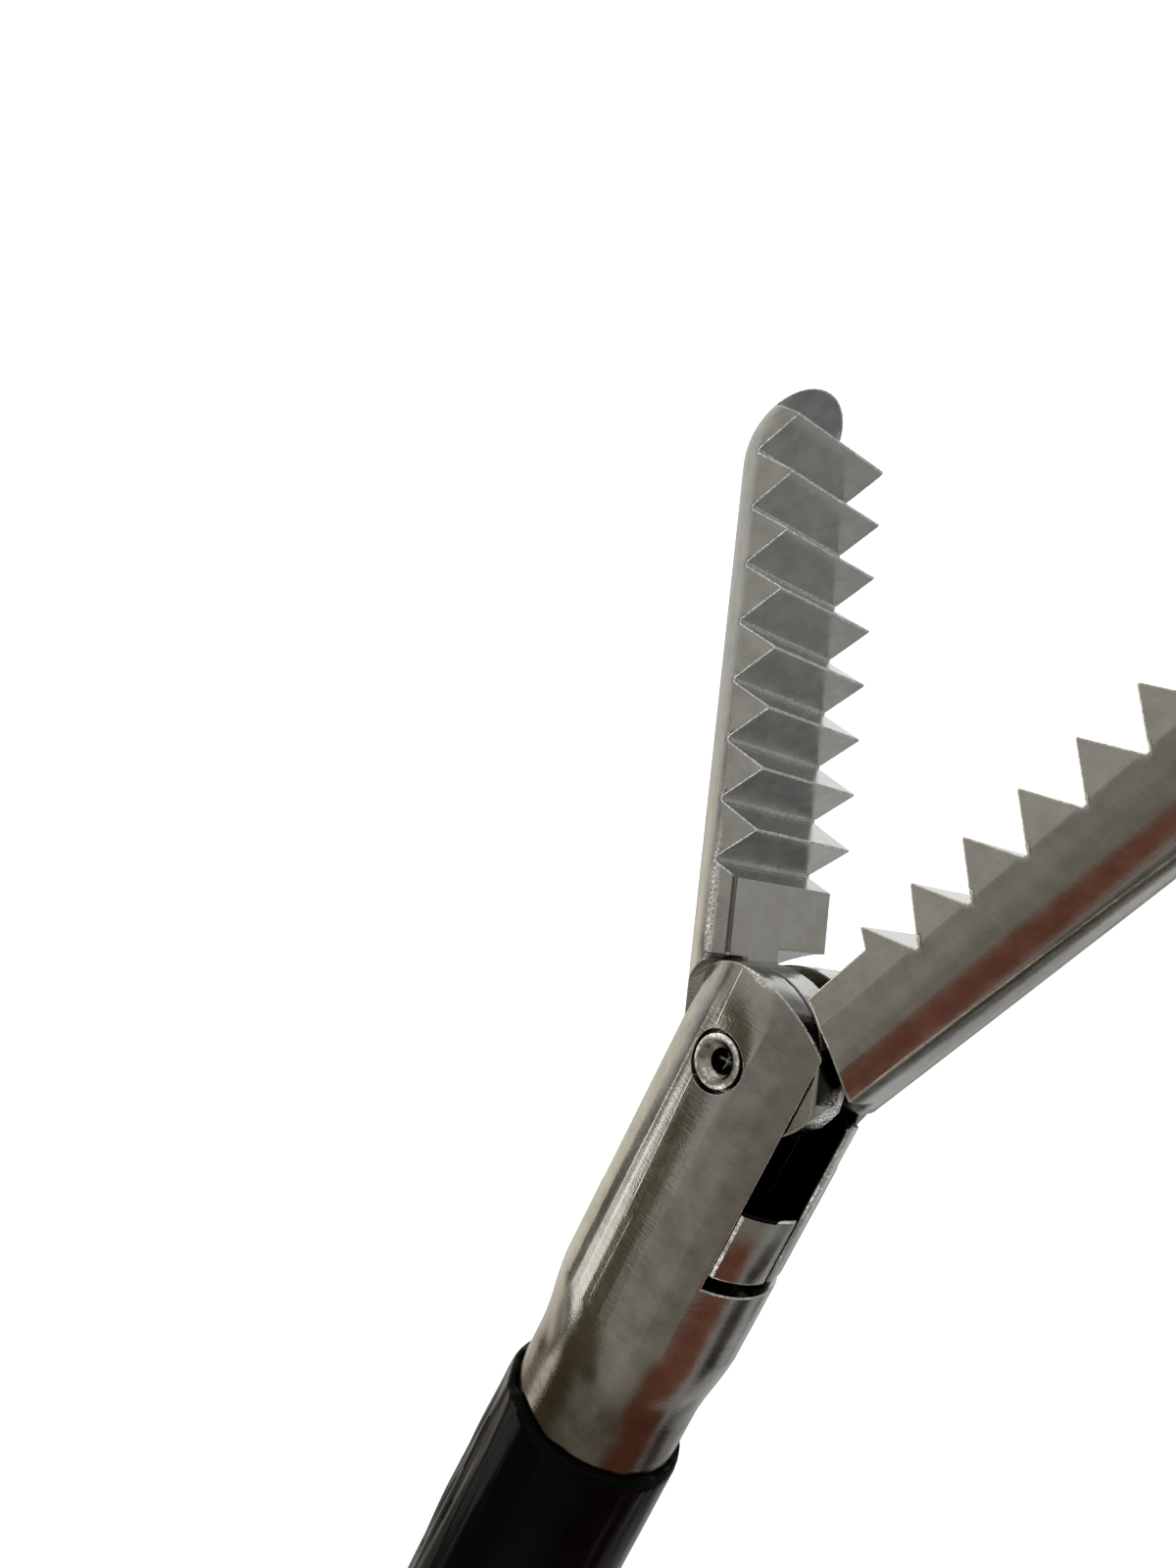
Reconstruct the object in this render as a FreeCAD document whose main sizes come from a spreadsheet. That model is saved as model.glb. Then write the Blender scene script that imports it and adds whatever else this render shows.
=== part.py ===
import FreeCAD, Part
import math
import os
import Sketcher

# Laparoscopic grasper, 5 mm shaft, lying on its side.
# Millimetres. The origin is on the shaft's axis at the front face of the rotation knob.
# +X runs along the shaft to the jaws, +Z is the axis of the jaw pivot, and the rings hang to -Y.

os.makedirs("parts", exist_ok=True)
doc = FreeCAD.newDocument("laparoscopic_grasper")
vector = FreeCAD.Vector

# Driving sizes: name, value, meaning
DRIVING_SIZES = [
    ("reach", 312.0, "knob face to jaw pivot"),
    ("jaw_width", 4.2, "across the flat sides of a jaw"),
    ("jaw_back_radius", 2.2, "rounded back of a jaw"),
    ("jaw_back_centre", 0.18, "closing plane to the centre of the rounded back"),
    ("back_flat_root", 2.14, "closing plane to the narrow flat on a jaw's back, at the pivot"),
    ("back_flat_nose", 2.35, "closing plane to the narrow flat on a jaw's back, at the nose"),
    ("nose_centre", 15.2, "pivot to the centre of the rounded nose"),
    ("nose_top", 17.5, "pivot to the end of the sloping nose land"),
    ("tooth_pitch", 1.488, "crest to crest"),
    ("crest_rise", 0.24, "crest past the closing plane"),
    ("root_depth", 0.89, "root behind the closing plane"),
    ("crest_flat", 0.05, "worn flat on a crest"),
    ("root_flat", 0.09, "flat at the bottom of a groove"),
    ("left_first_crest", 5.456, "pivot to the first crest, left jaw"),
    ("right_first_crest", 4.722, "pivot to the first crest, right jaw"),
    ("left_land_end", 4.3, "pivot to the end of the flat land, left jaw"),
    ("right_land_end", 4.5, "pivot to the end of the flat land, right jaw"),
    ("land_depth", 0.2, "land behind the closing plane"),
    ("shoulder_radius", 2.7, "pivot to the shoulder of the half without a tang"),
    ("left_open", 24.9, "opening of the left jaw as stored, degrees"),
    ("right_open", 21.6, "opening of the right jaw as stored, degrees"),
    ("tang_gap", 0.04, "mid plane to each tang"),
    ("tang_envelope", 2.6, "radius to which the closed tangs are ground"),
    ("plate_inner", 0.55, "mid plane to the thin part of a tang"),
    ("tang_radius", 2.36, "front edge of a tang"),
    ("hub_radius", 1.25, "thick middle of a tang"),
    ("heel_radius", 2.23, "rear edge of a tang"),
    ("heel_forward", 0.55, "centre of the heel's arc, along the jaw"),
    ("heel_aside", 0.45, "centre of the heel's arc, across the jaw"),
    ("ear_radius", 2.2, "edge of the tang's driven ear"),
    ("lap_start", 62.0, "start of the half lap in a tang, degrees"),
    ("lap_sweep", 138.0, "sweep of the half lap, degrees"),
    ("lap_gap", 0.02, "between the drive arm and the ear"),
    ("clevis_radius", 2.49, "clevis and its arms"),
    ("slot_half", 1.58, "half the clevis slot"),
    ("slot_depth", 5.0, "pivot to the bottom of the clevis slot"),
    ("arm_end_radius", 2.33, "rounded end of a clevis arm"),
    ("shoulder_room", 0.12, "jaw shoulder to the clevis arm's end"),
    ("clevis_back", 8.3, "pivot to the start of the clevis taper"),
    ("clevis_taper", 1.1, "length of the taper down to the tube"),
    ("spigot_length", 5.0, "clevis spigot in the tube"),
    ("side_play", 0.06, "sliding clearance in the clevis slot"),
    ("rivet_radius", 0.5, "rivet shank"),
    ("rivet_head", 0.65, "radius of the formed rivet head"),
    ("rivet_sink", 0.75, "radius of the counterbore round the head"),
    ("rivet_head_depth", 0.5, "depth of the counterbore"),
    ("rivet_set_back", 0.06, "rivet face below the clevis surface"),
    ("rivet_dish", 0.46, "radius of the dish in the rivet face"),
    ("rivet_eye", 0.3, "radius of the hole in the rivet face"),
    ("pivot_play", 0.02, "radial clearance on the pivot rivet"),
    ("block_front", 2.8, "pivot to the front of the drive block"),
    ("block_rear", 4.65, "pivot to the rear of the drive block"),
    ("block_radius", 2.47, "outside of the drive block"),
    ("arm_tip", 0.25, "pivot to the tip of a drive arm"),
    ("arm_step", 1.55, "pivot to the step of a drive arm"),
    ("arm_inner", 1.4, "shaft axis to the inner face of a drive arm"),
    ("arm_face", 0.16, "mid plane to the face of a drive arm"),
    ("lap_face", 0.78, "mid plane to the back of the thinned arm"),
    ("pin_across", 1.8, "shaft axis to a drive pin"),
    ("pin_behind", 0.85, "pivot to a drive pin as stored"),
    ("pin_radius", 0.25, "drive pin"),
    ("pin_start", 0.36, "mid plane to the blind end of a drive pin's hole"),
    ("pin_reach", 1.2, "mid plane to the end of a drive pin"),
    ("pin_play", 0.03, "radial clearance of a drive pin in its slot"),
    ("close_stroke", 0.788, "rod travel from stored to closed"),
    ("open_stroke", 0.3, "rod travel from stored to fully open"),
    ("rod_radius", 0.75, "push rod"),
    ("rod_play", 0.03, "radial clearance of the push rod"),
    ("rod_seat", 1.0, "push rod inside the drive block"),
    ("tube_radius", 2.2, "steel tube"),
    ("tube_wall", 0.35, "wall of the steel tube"),
    ("sleeve_radius", 2.5, "insulating sleeve"),
    ("sleeve_setback", 10.7, "pivot to the front rim of the sleeve"),
    ("bush_length", 8.0, "rod bush in the tube"),
    ("front_bush", 40.0, "pivot to the front rod bush"),
    ("rear_bush", 14.0, "knob face to the rear rod bush"),
    ("knob_length", 22.0, "rotation knob"),
    ("knob_radius", 9.5, "grip of the rotation knob"),
    ("knob_nose", 4.6, "front face of the rotation knob"),
    ("knob_nose_length", 8.0, "taper of the rotation knob"),
    ("flute_radius", 3.0, "finger flute in the knob"),
    ("flute_out", 11.3, "shaft axis to the centre of a flute"),
    ("flute_count", 8, "flutes round the knob"),
    ("hub_outer", 4.0, "metal hub behind the knob"),
    ("hub_setback", 2.0, "knob face to the front of the hub"),
    ("flange_radius", 6.0, "flange that holds the hub in the handle"),
    ("flange_behind", 4.0, "rear of the knob to the flange"),
    ("flange_width", 2.0, "flange"),
    ("hub_play", 0.06, "clearance of the hub in the handle"),
    ("ring_section", 0.8, "section radius of the friction ring"),
    ("ring_behind", 3.0, "flange to the friction ring"),
    ("hub_tail", 3.0, "friction ring to the rear of the hub"),
    ("seal_section", 0.7, "section radius of the rod seal"),
    ("port_back", 5.0, "knob face to the flush port"),
    ("port_radius", 2.0, "flush port tube"),
    ("port_bore", 0.8, "bore of the flush port"),
    ("port_length", 14.0, "shaft axis to the mouth of the flush port"),
    ("cap_radius", 3.2, "cap on the flush port"),
    ("cap_length", 5.2, "cap on the flush port"),
    ("cap_top", 1.6, "closed end of the port cap"),
    ("handle_half", 8.0, "half the thickness of the handle"),
    ("collar_gap", 1.0, "rear of the knob to the handle"),
    ("collar_radius", 9.0, "front collar of the handle"),
    ("collar_behind", 2.0, "rear of the hub to the front bend of the housing"),
    ("lever_behind", 30.0, "front bend of the housing to the lever pivot"),
    ("lever_arm", 5.0, "lever pivot to the rod's ball"),
    ("housing_behind", 4.0, "lever pivot to the rear bend of the housing"),
    ("housing_radius", 14.0, "rear bend of the housing"),
    ("handle_round", 4.0, "rounding of the handle edges"),
    ("grip_behind", 14.0, "front bend of the housing to the top of the grip"),
    ("grip_drop", 10.0, "shaft axis to the top of the grip"),
    ("grip_top", 9.0, "upper bend of the grip"),
    ("finger_behind", 24.0, "front bend of the housing to the finger ring"),
    ("ring_drop", 58.0, "shaft axis to the upper bend of the finger ring"),
    ("ring_outer", 16.0, "upper bend of the finger ring, outside"),
    ("ring_low", 16.0, "upper to lower bend of the finger ring"),
    ("ring_shift", 4.0, "how far the lower bend lies behind the upper"),
    ("ring_outer_low", 14.5, "lower bend of the finger ring, outside"),
    ("ring_wall", 5.0, "wall of a ring"),
    ("ring_half", 5.0, "half the thickness of a ring"),
    ("ring_round", 2.2, "rounding of the ring edges"),
    ("handle_wall", 2.4, "wall of the handle housing"),
    ("lever_half", 4.0, "half the thickness of the thumb lever"),
    ("lever_play", 0.5, "lever side clearance in the housing"),
    ("lever_head", 6.2, "head of the thumb lever"),
    ("foot_ahead", 12.0, "foot of the lever's arm ahead of the thumb ring's centre"),
    ("foot_above", 14.0, "foot of the lever's arm above the thumb ring's centre"),
    ("lever_foot", 5.0, "bend at the foot of the lever's arm"),
    ("thumb_behind", 44.0, "lever pivot to the thumb ring"),
    ("thumb_drop", 50.0, "shaft axis to the thumb ring"),
    ("thumb_outer", 14.5, "upper bend of the thumb ring, outside"),
    ("thumb_low", 7.0, "upper to lower bend of the thumb ring"),
    ("thumb_shift", 5.0, "how far the lower bend lies behind the upper"),
    ("ball_radius", 1.5, "ball on the rear of the rod"),
    ("ball_play", 0.03, "clearance of the ball in the fork"),
    ("fork_half", 2.4, "half the thickness of the metal fork"),
    ("fork_wide", 4.2, "half the width of the fork"),
    ("fork_down", 3.4, "shaft axis to the open end of the fork"),
    ("fork_up", 3.2, "lever pivot to the top of the fork"),
    ("bush_outer", 2.2, "lever bush, outside"),
    ("screw_radius", 1.5, "lever screw, shank"),
    ("screw_play", 0.03, "radial clearance of the lever on its screw"),
    ("screw_head", 3.2, "lever screw and nut, head"),
    ("screw_head_depth", 2.0, "lever screw and nut, height"),
    ("joint_screw", 1.25, "housing screws, shank"),
    ("joint_screw_head", 2.4, "housing screws, head"),
    ("joint_screw_depth", 1.8, "housing screws, head height"),
    ("post_radius", 2.0, "connector post"),
    ("post_length", 14.0, "free length of the connector post"),
    ("post_lift", 5.0, "shaft axis to the connector post"),
    ("post_seat", 5.0, "boss of the connector post inside the housing"),
    ("post_flange", 3.4, "boss at the root of the connector post"),
    ("post_flange_width", 1.6, "boss of the connector post outside the housing"),
]
TOOTH_COUNT = 8

sheet = doc.addObject("Spreadsheet::Sheet", "sizes")
for row, (alias, value, meaning) in enumerate(DRIVING_SIZES, start=1):
    sheet.set("A%d" % row, meaning)
    sheet.set("B%d" % row, str(value))
    sheet.setAlias("B%d" % row, alias)
doc.recompute()


class Size:
    # A size that carries its value and the formula that ties it to the sheet
    def __init__(self, value, text):
        self.value = float(value)
        self.text = text

    def __add__(self, other):
        other = asSize(other)
        return Size(self.value + other.value, "(%s + %s)" % (self.text, other.text))

    def __sub__(self, other):
        other = asSize(other)
        return Size(self.value - other.value, "(%s - %s)" % (self.text, other.text))

    def __mul__(self, other):
        other = asSize(other)
        return Size(self.value * other.value, "(%s * %s)" % (self.text, other.text))

    def __truediv__(self, other):
        other = asSize(other)
        return Size(self.value / other.value, "(%s / %s)" % (self.text, other.text))

    def __neg__(self):
        return Size(-self.value, "(0 - %s)" % self.text)


def asSize(amount):
    if isinstance(amount, Size):
        return amount
    return Size(amount, "(%r)" % float(amount))


class Names:
    pass


s = Names()
for alias, value, meaning in DRIVING_SIZES:
    setattr(s, alias, Size(value, "sizes." + alias))


# Places worked out along the instrument, measured back from the knob's face
flangeFront = s.knob_length + s.flange_behind
flangeRear = flangeFront + s.flange_width
ringBack = flangeRear + s.ring_behind
hubRear = ringBack + s.hub_tail
collarFront = s.knob_length + s.collar_gap
frontBend = hubRear + s.collar_behind
leverBack = frontBend + s.lever_behind
rearBend = leverBack + s.housing_behind
gripBack = frontBend + s.grip_behind
fingerBack = frontBend + s.finger_behind
thumbBack = leverBack + s.thumb_behind
footBack = thumbBack - s.foot_ahead
footDrop = s.thumb_drop - s.foot_above


def bind(thing, field, amount):
    # Ties one field of an object to the sheet
    thing.setExpression(field, asSize(amount).text)


# Turns that lay a primitive's own +Z along a row axis
ALONG_Z = FreeCAD.Rotation()
ALONG_X = FreeCAD.Rotation(vector(0, 1, 0), 90)
ALONG_Y = FreeCAD.Rotation(vector(1, 0, 0), -90)
HALF_TURN = FreeCAD.Rotation(vector(1, 0, 0), 180)


def place(thing, x=0, y=0, z=0, turn=ALONG_Z):
    thing.Placement = FreeCAD.Placement(vector(0, 0, 0), turn)
    bind(thing, "Placement.Base.x", x)
    bind(thing, "Placement.Base.y", y)
    bind(thing, "Placement.Base.z", z)
    return thing


def cylinder(name, radius, height, x=0, y=0, z=0, turn=ALONG_Z):
    thing = doc.addObject("Part::Cylinder", name)
    bind(thing, "Radius", radius)
    bind(thing, "Height", height)
    return place(thing, x, y, z, turn)


def box(name, low, high):
    # low and high are the corners; each coordinate is a size
    thing = doc.addObject("Part::Box", name)
    for field, a, b in zip(("Length", "Width", "Height"), low, high):
        bind(thing, field, asSize(b) - a)
    return place(thing, low[0], low[1], low[2])


def sphere(name, radius, x=0, y=0, z=0):
    thing = doc.addObject("Part::Sphere", name)
    bind(thing, "Radius", radius)
    return place(thing, x, y, z)


def cone(name, radius1, radius2, height, x=0, y=0, z=0, turn=ALONG_Z):
    thing = doc.addObject("Part::Cone", name)
    bind(thing, "Radius1", radius1)
    bind(thing, "Radius2", radius2)
    bind(thing, "Height", height)
    return place(thing, x, y, z, turn)


def fuse(name, *shapes):
    thing = doc.addObject("Part::MultiFuse", name)
    thing.Shapes = list(shapes)
    return thing


def common(name, *shapes):
    thing = doc.addObject("Part::MultiCommon", name)
    thing.Shapes = list(shapes)
    return thing


def group(name, *things):
    # Holds finished primitives so that they can be placed together
    thing = doc.addObject("Part::Compound", name)
    thing.Links = list(things)
    return thing


def cut(name, base, *tools):
    thing = doc.addObject("Part::Cut", name)
    thing.Base = base
    thing.Tool = tools[0] if len(tools) == 1 else fuse(name + "_tools", *tools)
    return thing


def originPlane(body, role):
    return [f for f in body.Origin.OriginFeatures if f.Role == role][0]


def newSketch(body, name, role):
    sketch = body.newObject("Sketcher::SketchObject", name)
    sketch.AttachmentSupport = [(originPlane(body, role), "")]
    sketch.MapMode = "FlatFace"
    return sketch


def pinPoint(sketch, geometry, point, x, y):
    # Holds one point of a sketch at a place measured from the sketch's origin
    for kind, amount in (("DistanceX", asSize(x)), ("DistanceY", asSize(y))):
        index = sketch.addConstraint(
            Sketcher.Constraint(kind, -1, 1, geometry, point, amount.value)
        )
        sketch.setExpression("Constraints[%d]" % index, amount.text)


def polygon(sketch, points):
    # Closed outline of straight edges, every corner held from the sheet
    corners = [(asSize(x), asSize(y)) for x, y in points]
    count = len(corners)
    for i, (x, y) in enumerate(corners):
        nextX, nextY = corners[(i + 1) % count]
        sketch.addGeometry(
            Part.LineSegment(vector(x.value, y.value, 0), vector(nextX.value, nextY.value, 0))
        )
    for i in range(count):
        sketch.addConstraint(Sketcher.Constraint("Coincident", i, 2, (i + 1) % count, 1))
    for i, (x, y) in enumerate(corners):
        pinPoint(sketch, i, 1, x, y)


def turned(name, points):
    # A turned piece: (x, radius) corners revolved about the shaft axis
    body = doc.addObject("PartDesign::Body", name)
    sketch = newSketch(body, name + "_section", "XY_Plane")
    polygon(sketch, points)
    revolution = body.newObject("PartDesign::Revolution", name + "_turning")
    revolution.Profile = sketch
    revolution.ReferenceAxis = (sketch, ["H_Axis"])
    revolution.Angle = 360
    return body


def prism(name, points, half):
    # A plate cut to an outline in the XY plane, centred on the mid plane
    body = doc.addObject("PartDesign::Body", name)
    sketch = newSketch(body, name + "_outline", "XY_Plane")
    polygon(sketch, points)
    pad = body.newObject("PartDesign::Pad", name + "_pad")
    pad.Profile = sketch
    pad.Midplane = True
    bind(pad, "Length", asSize(half) * 2)
    return body


def bend(sketch, x1, y1, r1, x2, y2, r2):
    # Outline round two circles, joined by their outer tangents
    circles = [(asSize(x1), asSize(y1), asSize(r1)), (asSize(x2), asSize(y2), asSize(r2))]
    (ax, ay, ar), (bx, by, br) = [(x.value, y.value, r.value) for x, y, r in circles]
    away = math.atan2(by - ay, bx - ax)
    lean = math.acos((ar - br) / math.hypot(bx - ax, by - ay))
    first, second = away + lean, away - lean

    def rim(x, y, r, angle):
        return vector(x + r * math.cos(angle), y + r * math.sin(angle), 0)

    base = sketch.GeometryCount
    circleA = Part.Circle(vector(ax, ay, 0), vector(0, 0, 1), ar)
    circleB = Part.Circle(vector(bx, by, 0), vector(0, 0, 1), br)
    sketch.addGeometry(Part.ArcOfCircle(circleA, first, second + 2 * math.pi))
    sketch.addGeometry(Part.LineSegment(rim(ax, ay, ar, second), rim(bx, by, br, second)))
    sketch.addGeometry(Part.ArcOfCircle(circleB, second, first))
    sketch.addGeometry(Part.LineSegment(rim(bx, by, br, first), rim(ax, ay, ar, first)))
    arcA, lineOut, arcB, lineBack = range(base, base + 4)
    for one, end, two, start in (
        (arcA, 2, lineOut, 1),
        (lineOut, 2, arcB, 1),
        (arcB, 2, lineBack, 1),
        (lineBack, 2, arcA, 1),
    ):
        sketch.addConstraint(Sketcher.Constraint("Tangent", one, end, two, start))
    for arc, (x, y, r) in zip((arcA, arcB), circles):
        pinPoint(sketch, arc, 3, x, y)
        index = sketch.addConstraint(Sketcher.Constraint("Radius", arc, r.value))
        sketch.setExpression("Constraints[%d]" % index, r.text)


def bendPlate(name, half, circleOne, circleTwo, hole=None, rounding=None):
    # A plate round two circles, with an opening and rounded rims where they are given
    body = doc.addObject("PartDesign::Body", name)
    sketch = newSketch(body, name + "_outline", "XY_Plane")
    bend(sketch, *circleOne, *circleTwo)
    if hole:
        bend(sketch, *hole[0], *hole[1])
    pad = body.newObject("PartDesign::Pad", name + "_pad")
    pad.Profile = sketch
    pad.Midplane = True
    bind(pad, "Length", asSize(half) * 2)
    if rounding is not None:
        doc.recompute()
        rims = []
        for number, edge in enumerate(pad.Shape.Edges, start=1):
            if abs(edge.BoundBox.ZLength) < 1e-6:
                rims.append("Edge%d" % number)
        fillet = body.newObject("PartDesign::Fillet", name + "_rounding")
        fillet.Base = (pad, rims)
        bind(fillet, "Radius", rounding)
    return body


finished = []


def finish(thing, label):
    thing.Label = label
    finished.append(thing)
    return thing


# Jaws
# Each jaw is drawn closed, along +X from its pivot, with its back on +Y and its tang on +Z.
# The right jaw is the same drawing turned half round about the shaft.


def toothedOutline(firstCrest, landEnd, groove):
    points = [(0, s.land_depth), (landEnd, s.land_depth)]
    halfPitch = s.tooth_pitch / 2
    if groove:
        points.append((firstCrest - halfPitch - s.root_flat / 2, s.root_depth))
        points.append((firstCrest - halfPitch + s.root_flat / 2, s.root_depth))
    for tooth in range(TOOTH_COUNT):
        crest = firstCrest + s.tooth_pitch * tooth
        points.append((crest - s.crest_flat / 2, -s.crest_rise))
        points.append((crest + s.crest_flat / 2, -s.crest_rise))
        points.append((crest + halfPitch - s.root_flat / 2, s.root_depth))
        points.append((crest + halfPitch + s.root_flat / 2, s.root_depth))
    beyond = s.nose_centre + s.jaw_back_radius * 2
    points += [(s.nose_top, s.land_depth), (beyond, s.land_depth)]
    points += [(beyond, s.back_flat_nose), (s.nose_centre, s.back_flat_nose)]
    points.append((0, s.back_flat_root))
    return points


def pinInJaw(open_angle, travel):
    # Place of the drive pin in the closed jaw's own frame after the rod has moved by travel
    x = travel - s.pin_behind.value
    y = s.pin_across.value
    turn = math.radians(open_angle.value * (1 - travel / s.close_stroke.value))
    return vector(
        x * math.cos(turn) + y * math.sin(turn), y * math.cos(turn) - x * math.sin(turn), 0
    )


def driveSlot(name, open_angle):
    # Slot that the drive pin cuts in the tang between fully open, stored and closed
    radius = s.pin_radius.value + s.pin_play.value
    travels = (s.close_stroke.value, 0.0, -s.open_stroke.value)
    stops = [pinInJaw(open_angle, travel) for travel in travels]
    outward = stops[2] - stops[1]
    outward.normalize()
    stops.append(stops[2] + outward * (s.tang_envelope.value - s.pin_across.value))
    height = s.tang_envelope.value
    shape = Part.makeCylinder(radius, height, stops[0])
    for start, end in zip(stops, stops[1:]):
        along = end - start
        side = vector(-along.y, along.x, 0)
        side.normalize()
        corners = [start + side * radius, end + side * radius, end - side * radius]
        corners += [start - side * radius, start + side * radius]
        run = Part.Face(Part.makePolygon(corners)).extrude(vector(0, 0, height))
        shape = shape.fuse([run, Part.makeCylinder(radius, height, end)])
    thing = doc.addObject("Part::Feature", name)
    thing.Shape = shape.removeSplitter()
    return thing


def jaw(side, open_angle, firstCrest, landEnd, groove, turn):
    def named(word):
        return "%s_%s" % (side, word)

    outline = toothedOutline(firstCrest, landEnd, groove)
    blade = prism(named("teeth"), outline, s.jaw_width / 2)
    back = cylinder(
        named("back"), s.jaw_back_radius, s.nose_centre, 0, s.jaw_back_centre, 0, ALONG_X
    )
    nose = sphere(named("nose"), s.jaw_back_radius, s.nose_centre, s.jaw_back_centre)
    rounded = common(named("rounded"), blade, fuse(named("form"), back, nose))
    # The blade ends at a round shoulder, apart from the half that carries the tang
    shoulder = cylinder(
        named("shoulder"), s.shoulder_radius, s.jaw_width, z=s.tang_gap - s.jaw_width
    )
    rounded = cut(named("blade"), rounded, shoulder)
    tangFace = s.slot_half - s.side_play
    disc = cylinder(named("disc"), s.tang_radius, tangFace - s.plate_inner, z=s.plate_inner)
    heel = cylinder(
        named("heel"), s.heel_radius, tangFace, s.heel_forward, -s.heel_aside, 0
    )
    ground = cylinder(
        named("ground"), s.tang_envelope, s.tang_envelope * 2, -s.tang_envelope, turn=ALONG_X
    )
    plate = common(named("plate"), disc, heel, ground)
    hub = cylinder(named("hub"), s.hub_radius, tangFace - s.tang_gap, z=s.tang_gap)
    solid = fuse(named("solid"), rounded, plate, hub)
    # Room for the clevis arm's end, outside the tang
    room = s.arm_end_radius + s.shoulder_room
    clear = cylinder(named("arm_room"), room, s.jaw_width, z=tangFace)
    # Half lap for the drive arm
    lapOuter = cylinder(
        named("lap_outer"), s.tang_envelope * 2, s.lap_face + s.lap_gap, turn=ALONG_Z
    )
    bind(lapOuter, "Angle", s.lap_sweep)
    lapOuter.Placement = FreeCAD.Placement(vector(), FreeCAD.Rotation(vector(0, 0, 1), 1))
    bind(lapOuter, "Placement.Rotation.Angle", s.lap_start)
    lapInner = cylinder(named("lap_inner"), s.hub_radius, s.jaw_width)
    lap = cut(named("lap"), lapOuter, lapInner)
    # The driven ear is turned down to a smaller radius
    trimOuter = cylinder(named("trim_outer"), s.tang_envelope * 2, s.jaw_width)
    bind(trimOuter, "Angle", s.lap_sweep)
    trimOuter.Placement = FreeCAD.Placement(vector(), FreeCAD.Rotation(vector(0, 0, 1), 1))
    bind(trimOuter, "Placement.Rotation.Angle", s.lap_start)
    trimInner = cylinder(named("trim_inner"), s.ear_radius, s.jaw_width)
    trim = cut(named("trim"), trimOuter, trimInner)
    slot = driveSlot(named("slot"), open_angle)
    carved = cut(named("carved"), solid, clear, lap, trim, slot)
    carved.Placement = FreeCAD.Placement(vector(), FreeCAD.Rotation(vector(0, 0, 1), 1))
    bind(carved, "Placement.Rotation.Angle", open_angle)
    bore = cylinder(
        named("bore"), s.rivet_radius + s.pivot_play, s.jaw_width * 2, z=-s.jaw_width
    )
    whole = cut("jaw_" + side + "_cut", carved, bore)
    place(whole, s.reach, turn=turn)
    return finish(whole, "jaw_" + side)


jaw("left", s.left_open, s.left_first_crest, s.left_land_end, True, ALONG_Z)
jaw("right", s.right_open, s.right_first_crest, s.right_land_end, False, HALF_TURN)

# Clevis: a turned body, slotted, with two arms rounded about the pivot
tubeInner = s.tube_radius - s.tube_wall
taperEnd = s.clevis_back + s.clevis_taper
clevisTurned = turned("clevis_turned", [
    (s.reach + s.arm_end_radius, 0),
    (s.reach + s.arm_end_radius, s.clevis_radius),
    (s.reach - s.clevis_back, s.clevis_radius),
    (s.reach - taperEnd, s.tube_radius),
    (s.reach - taperEnd, tubeInner),
    (s.reach - taperEnd - s.spigot_length, tubeInner),
    (s.reach - taperEnd - s.spigot_length, 0),
])
armEnd = cylinder("arm_end", s.arm_end_radius, s.clevis_radius * 2, s.reach, 0, -s.clevis_radius)
behindPivot = box(
    "behind_pivot",
    (s.reach - taperEnd - s.spigot_length, -s.clevis_radius, -s.clevis_radius),
    (s.reach, s.clevis_radius, s.clevis_radius),
)
clevisForm = common("clevis_form", clevisTurned, fuse("clevis_plan", armEnd, behindPivot))
clevisSlot = box(
    "clevis_slot",
    (s.reach - s.slot_depth, -s.clevis_radius, -s.slot_half),
    (s.reach + s.clevis_radius, s.clevis_radius, s.slot_half),
)
clevisBore = cylinder(
    "clevis_bore", s.rod_radius + s.rod_play, s.spigot_length + taperEnd,
    s.reach - taperEnd - s.spigot_length, turn=ALONG_X,
)
rivetHole = cylinder("rivet_hole", s.rivet_radius, s.clevis_radius * 2, s.reach, 0, -s.clevis_radius)
sinkDepth = s.rivet_head_depth + s.rivet_set_back
sinkNear = cylinder("sink_near", s.rivet_sink, sinkDepth, s.reach, 0, s.clevis_radius - sinkDepth)
sinkFar = cylinder("sink_far", s.rivet_sink, sinkDepth, s.reach, 0, -s.clevis_radius)
finish(
    cut("clevis_cut", clevisForm, clevisSlot, clevisBore, rivetHole, sinkNear, sinkFar), "clevis"
)

# Pivot rivet, with a dished head at both ends
faceZ = s.clevis_radius - s.rivet_set_back
rivetShank = cylinder("rivet_shank", s.rivet_radius, faceZ * 2, s.reach, 0, -faceZ)
rivetHeads = []
rivetDishes = []
for side, sign in (("near", 1), ("far", -1)):
    turn = ALONG_Z if sign > 0 else HALF_TURN
    head = cylinder("rivet_head_" + side, s.rivet_head, s.rivet_head_depth)
    place(head, s.reach, 0, (faceZ - s.rivet_head_depth) * sign, turn)
    dish = cone("rivet_dish_" + side, s.rivet_eye, s.rivet_dish, s.rivet_dish - s.rivet_eye)
    place(dish, s.reach, 0, (faceZ - (s.rivet_dish - s.rivet_eye)) * sign, turn)
    eye = cylinder("rivet_eye_" + side, s.rivet_eye, s.rivet_head_depth)
    place(eye, s.reach, 0, (faceZ - s.rivet_head_depth) * sign, turn)
    rivetHeads.append(head)
    rivetDishes += [dish, eye]
finish(
    cut("rivet_cut", fuse("rivet_form", rivetShank, *rivetHeads), *rivetDishes), "pivot_rivet"
)

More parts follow.
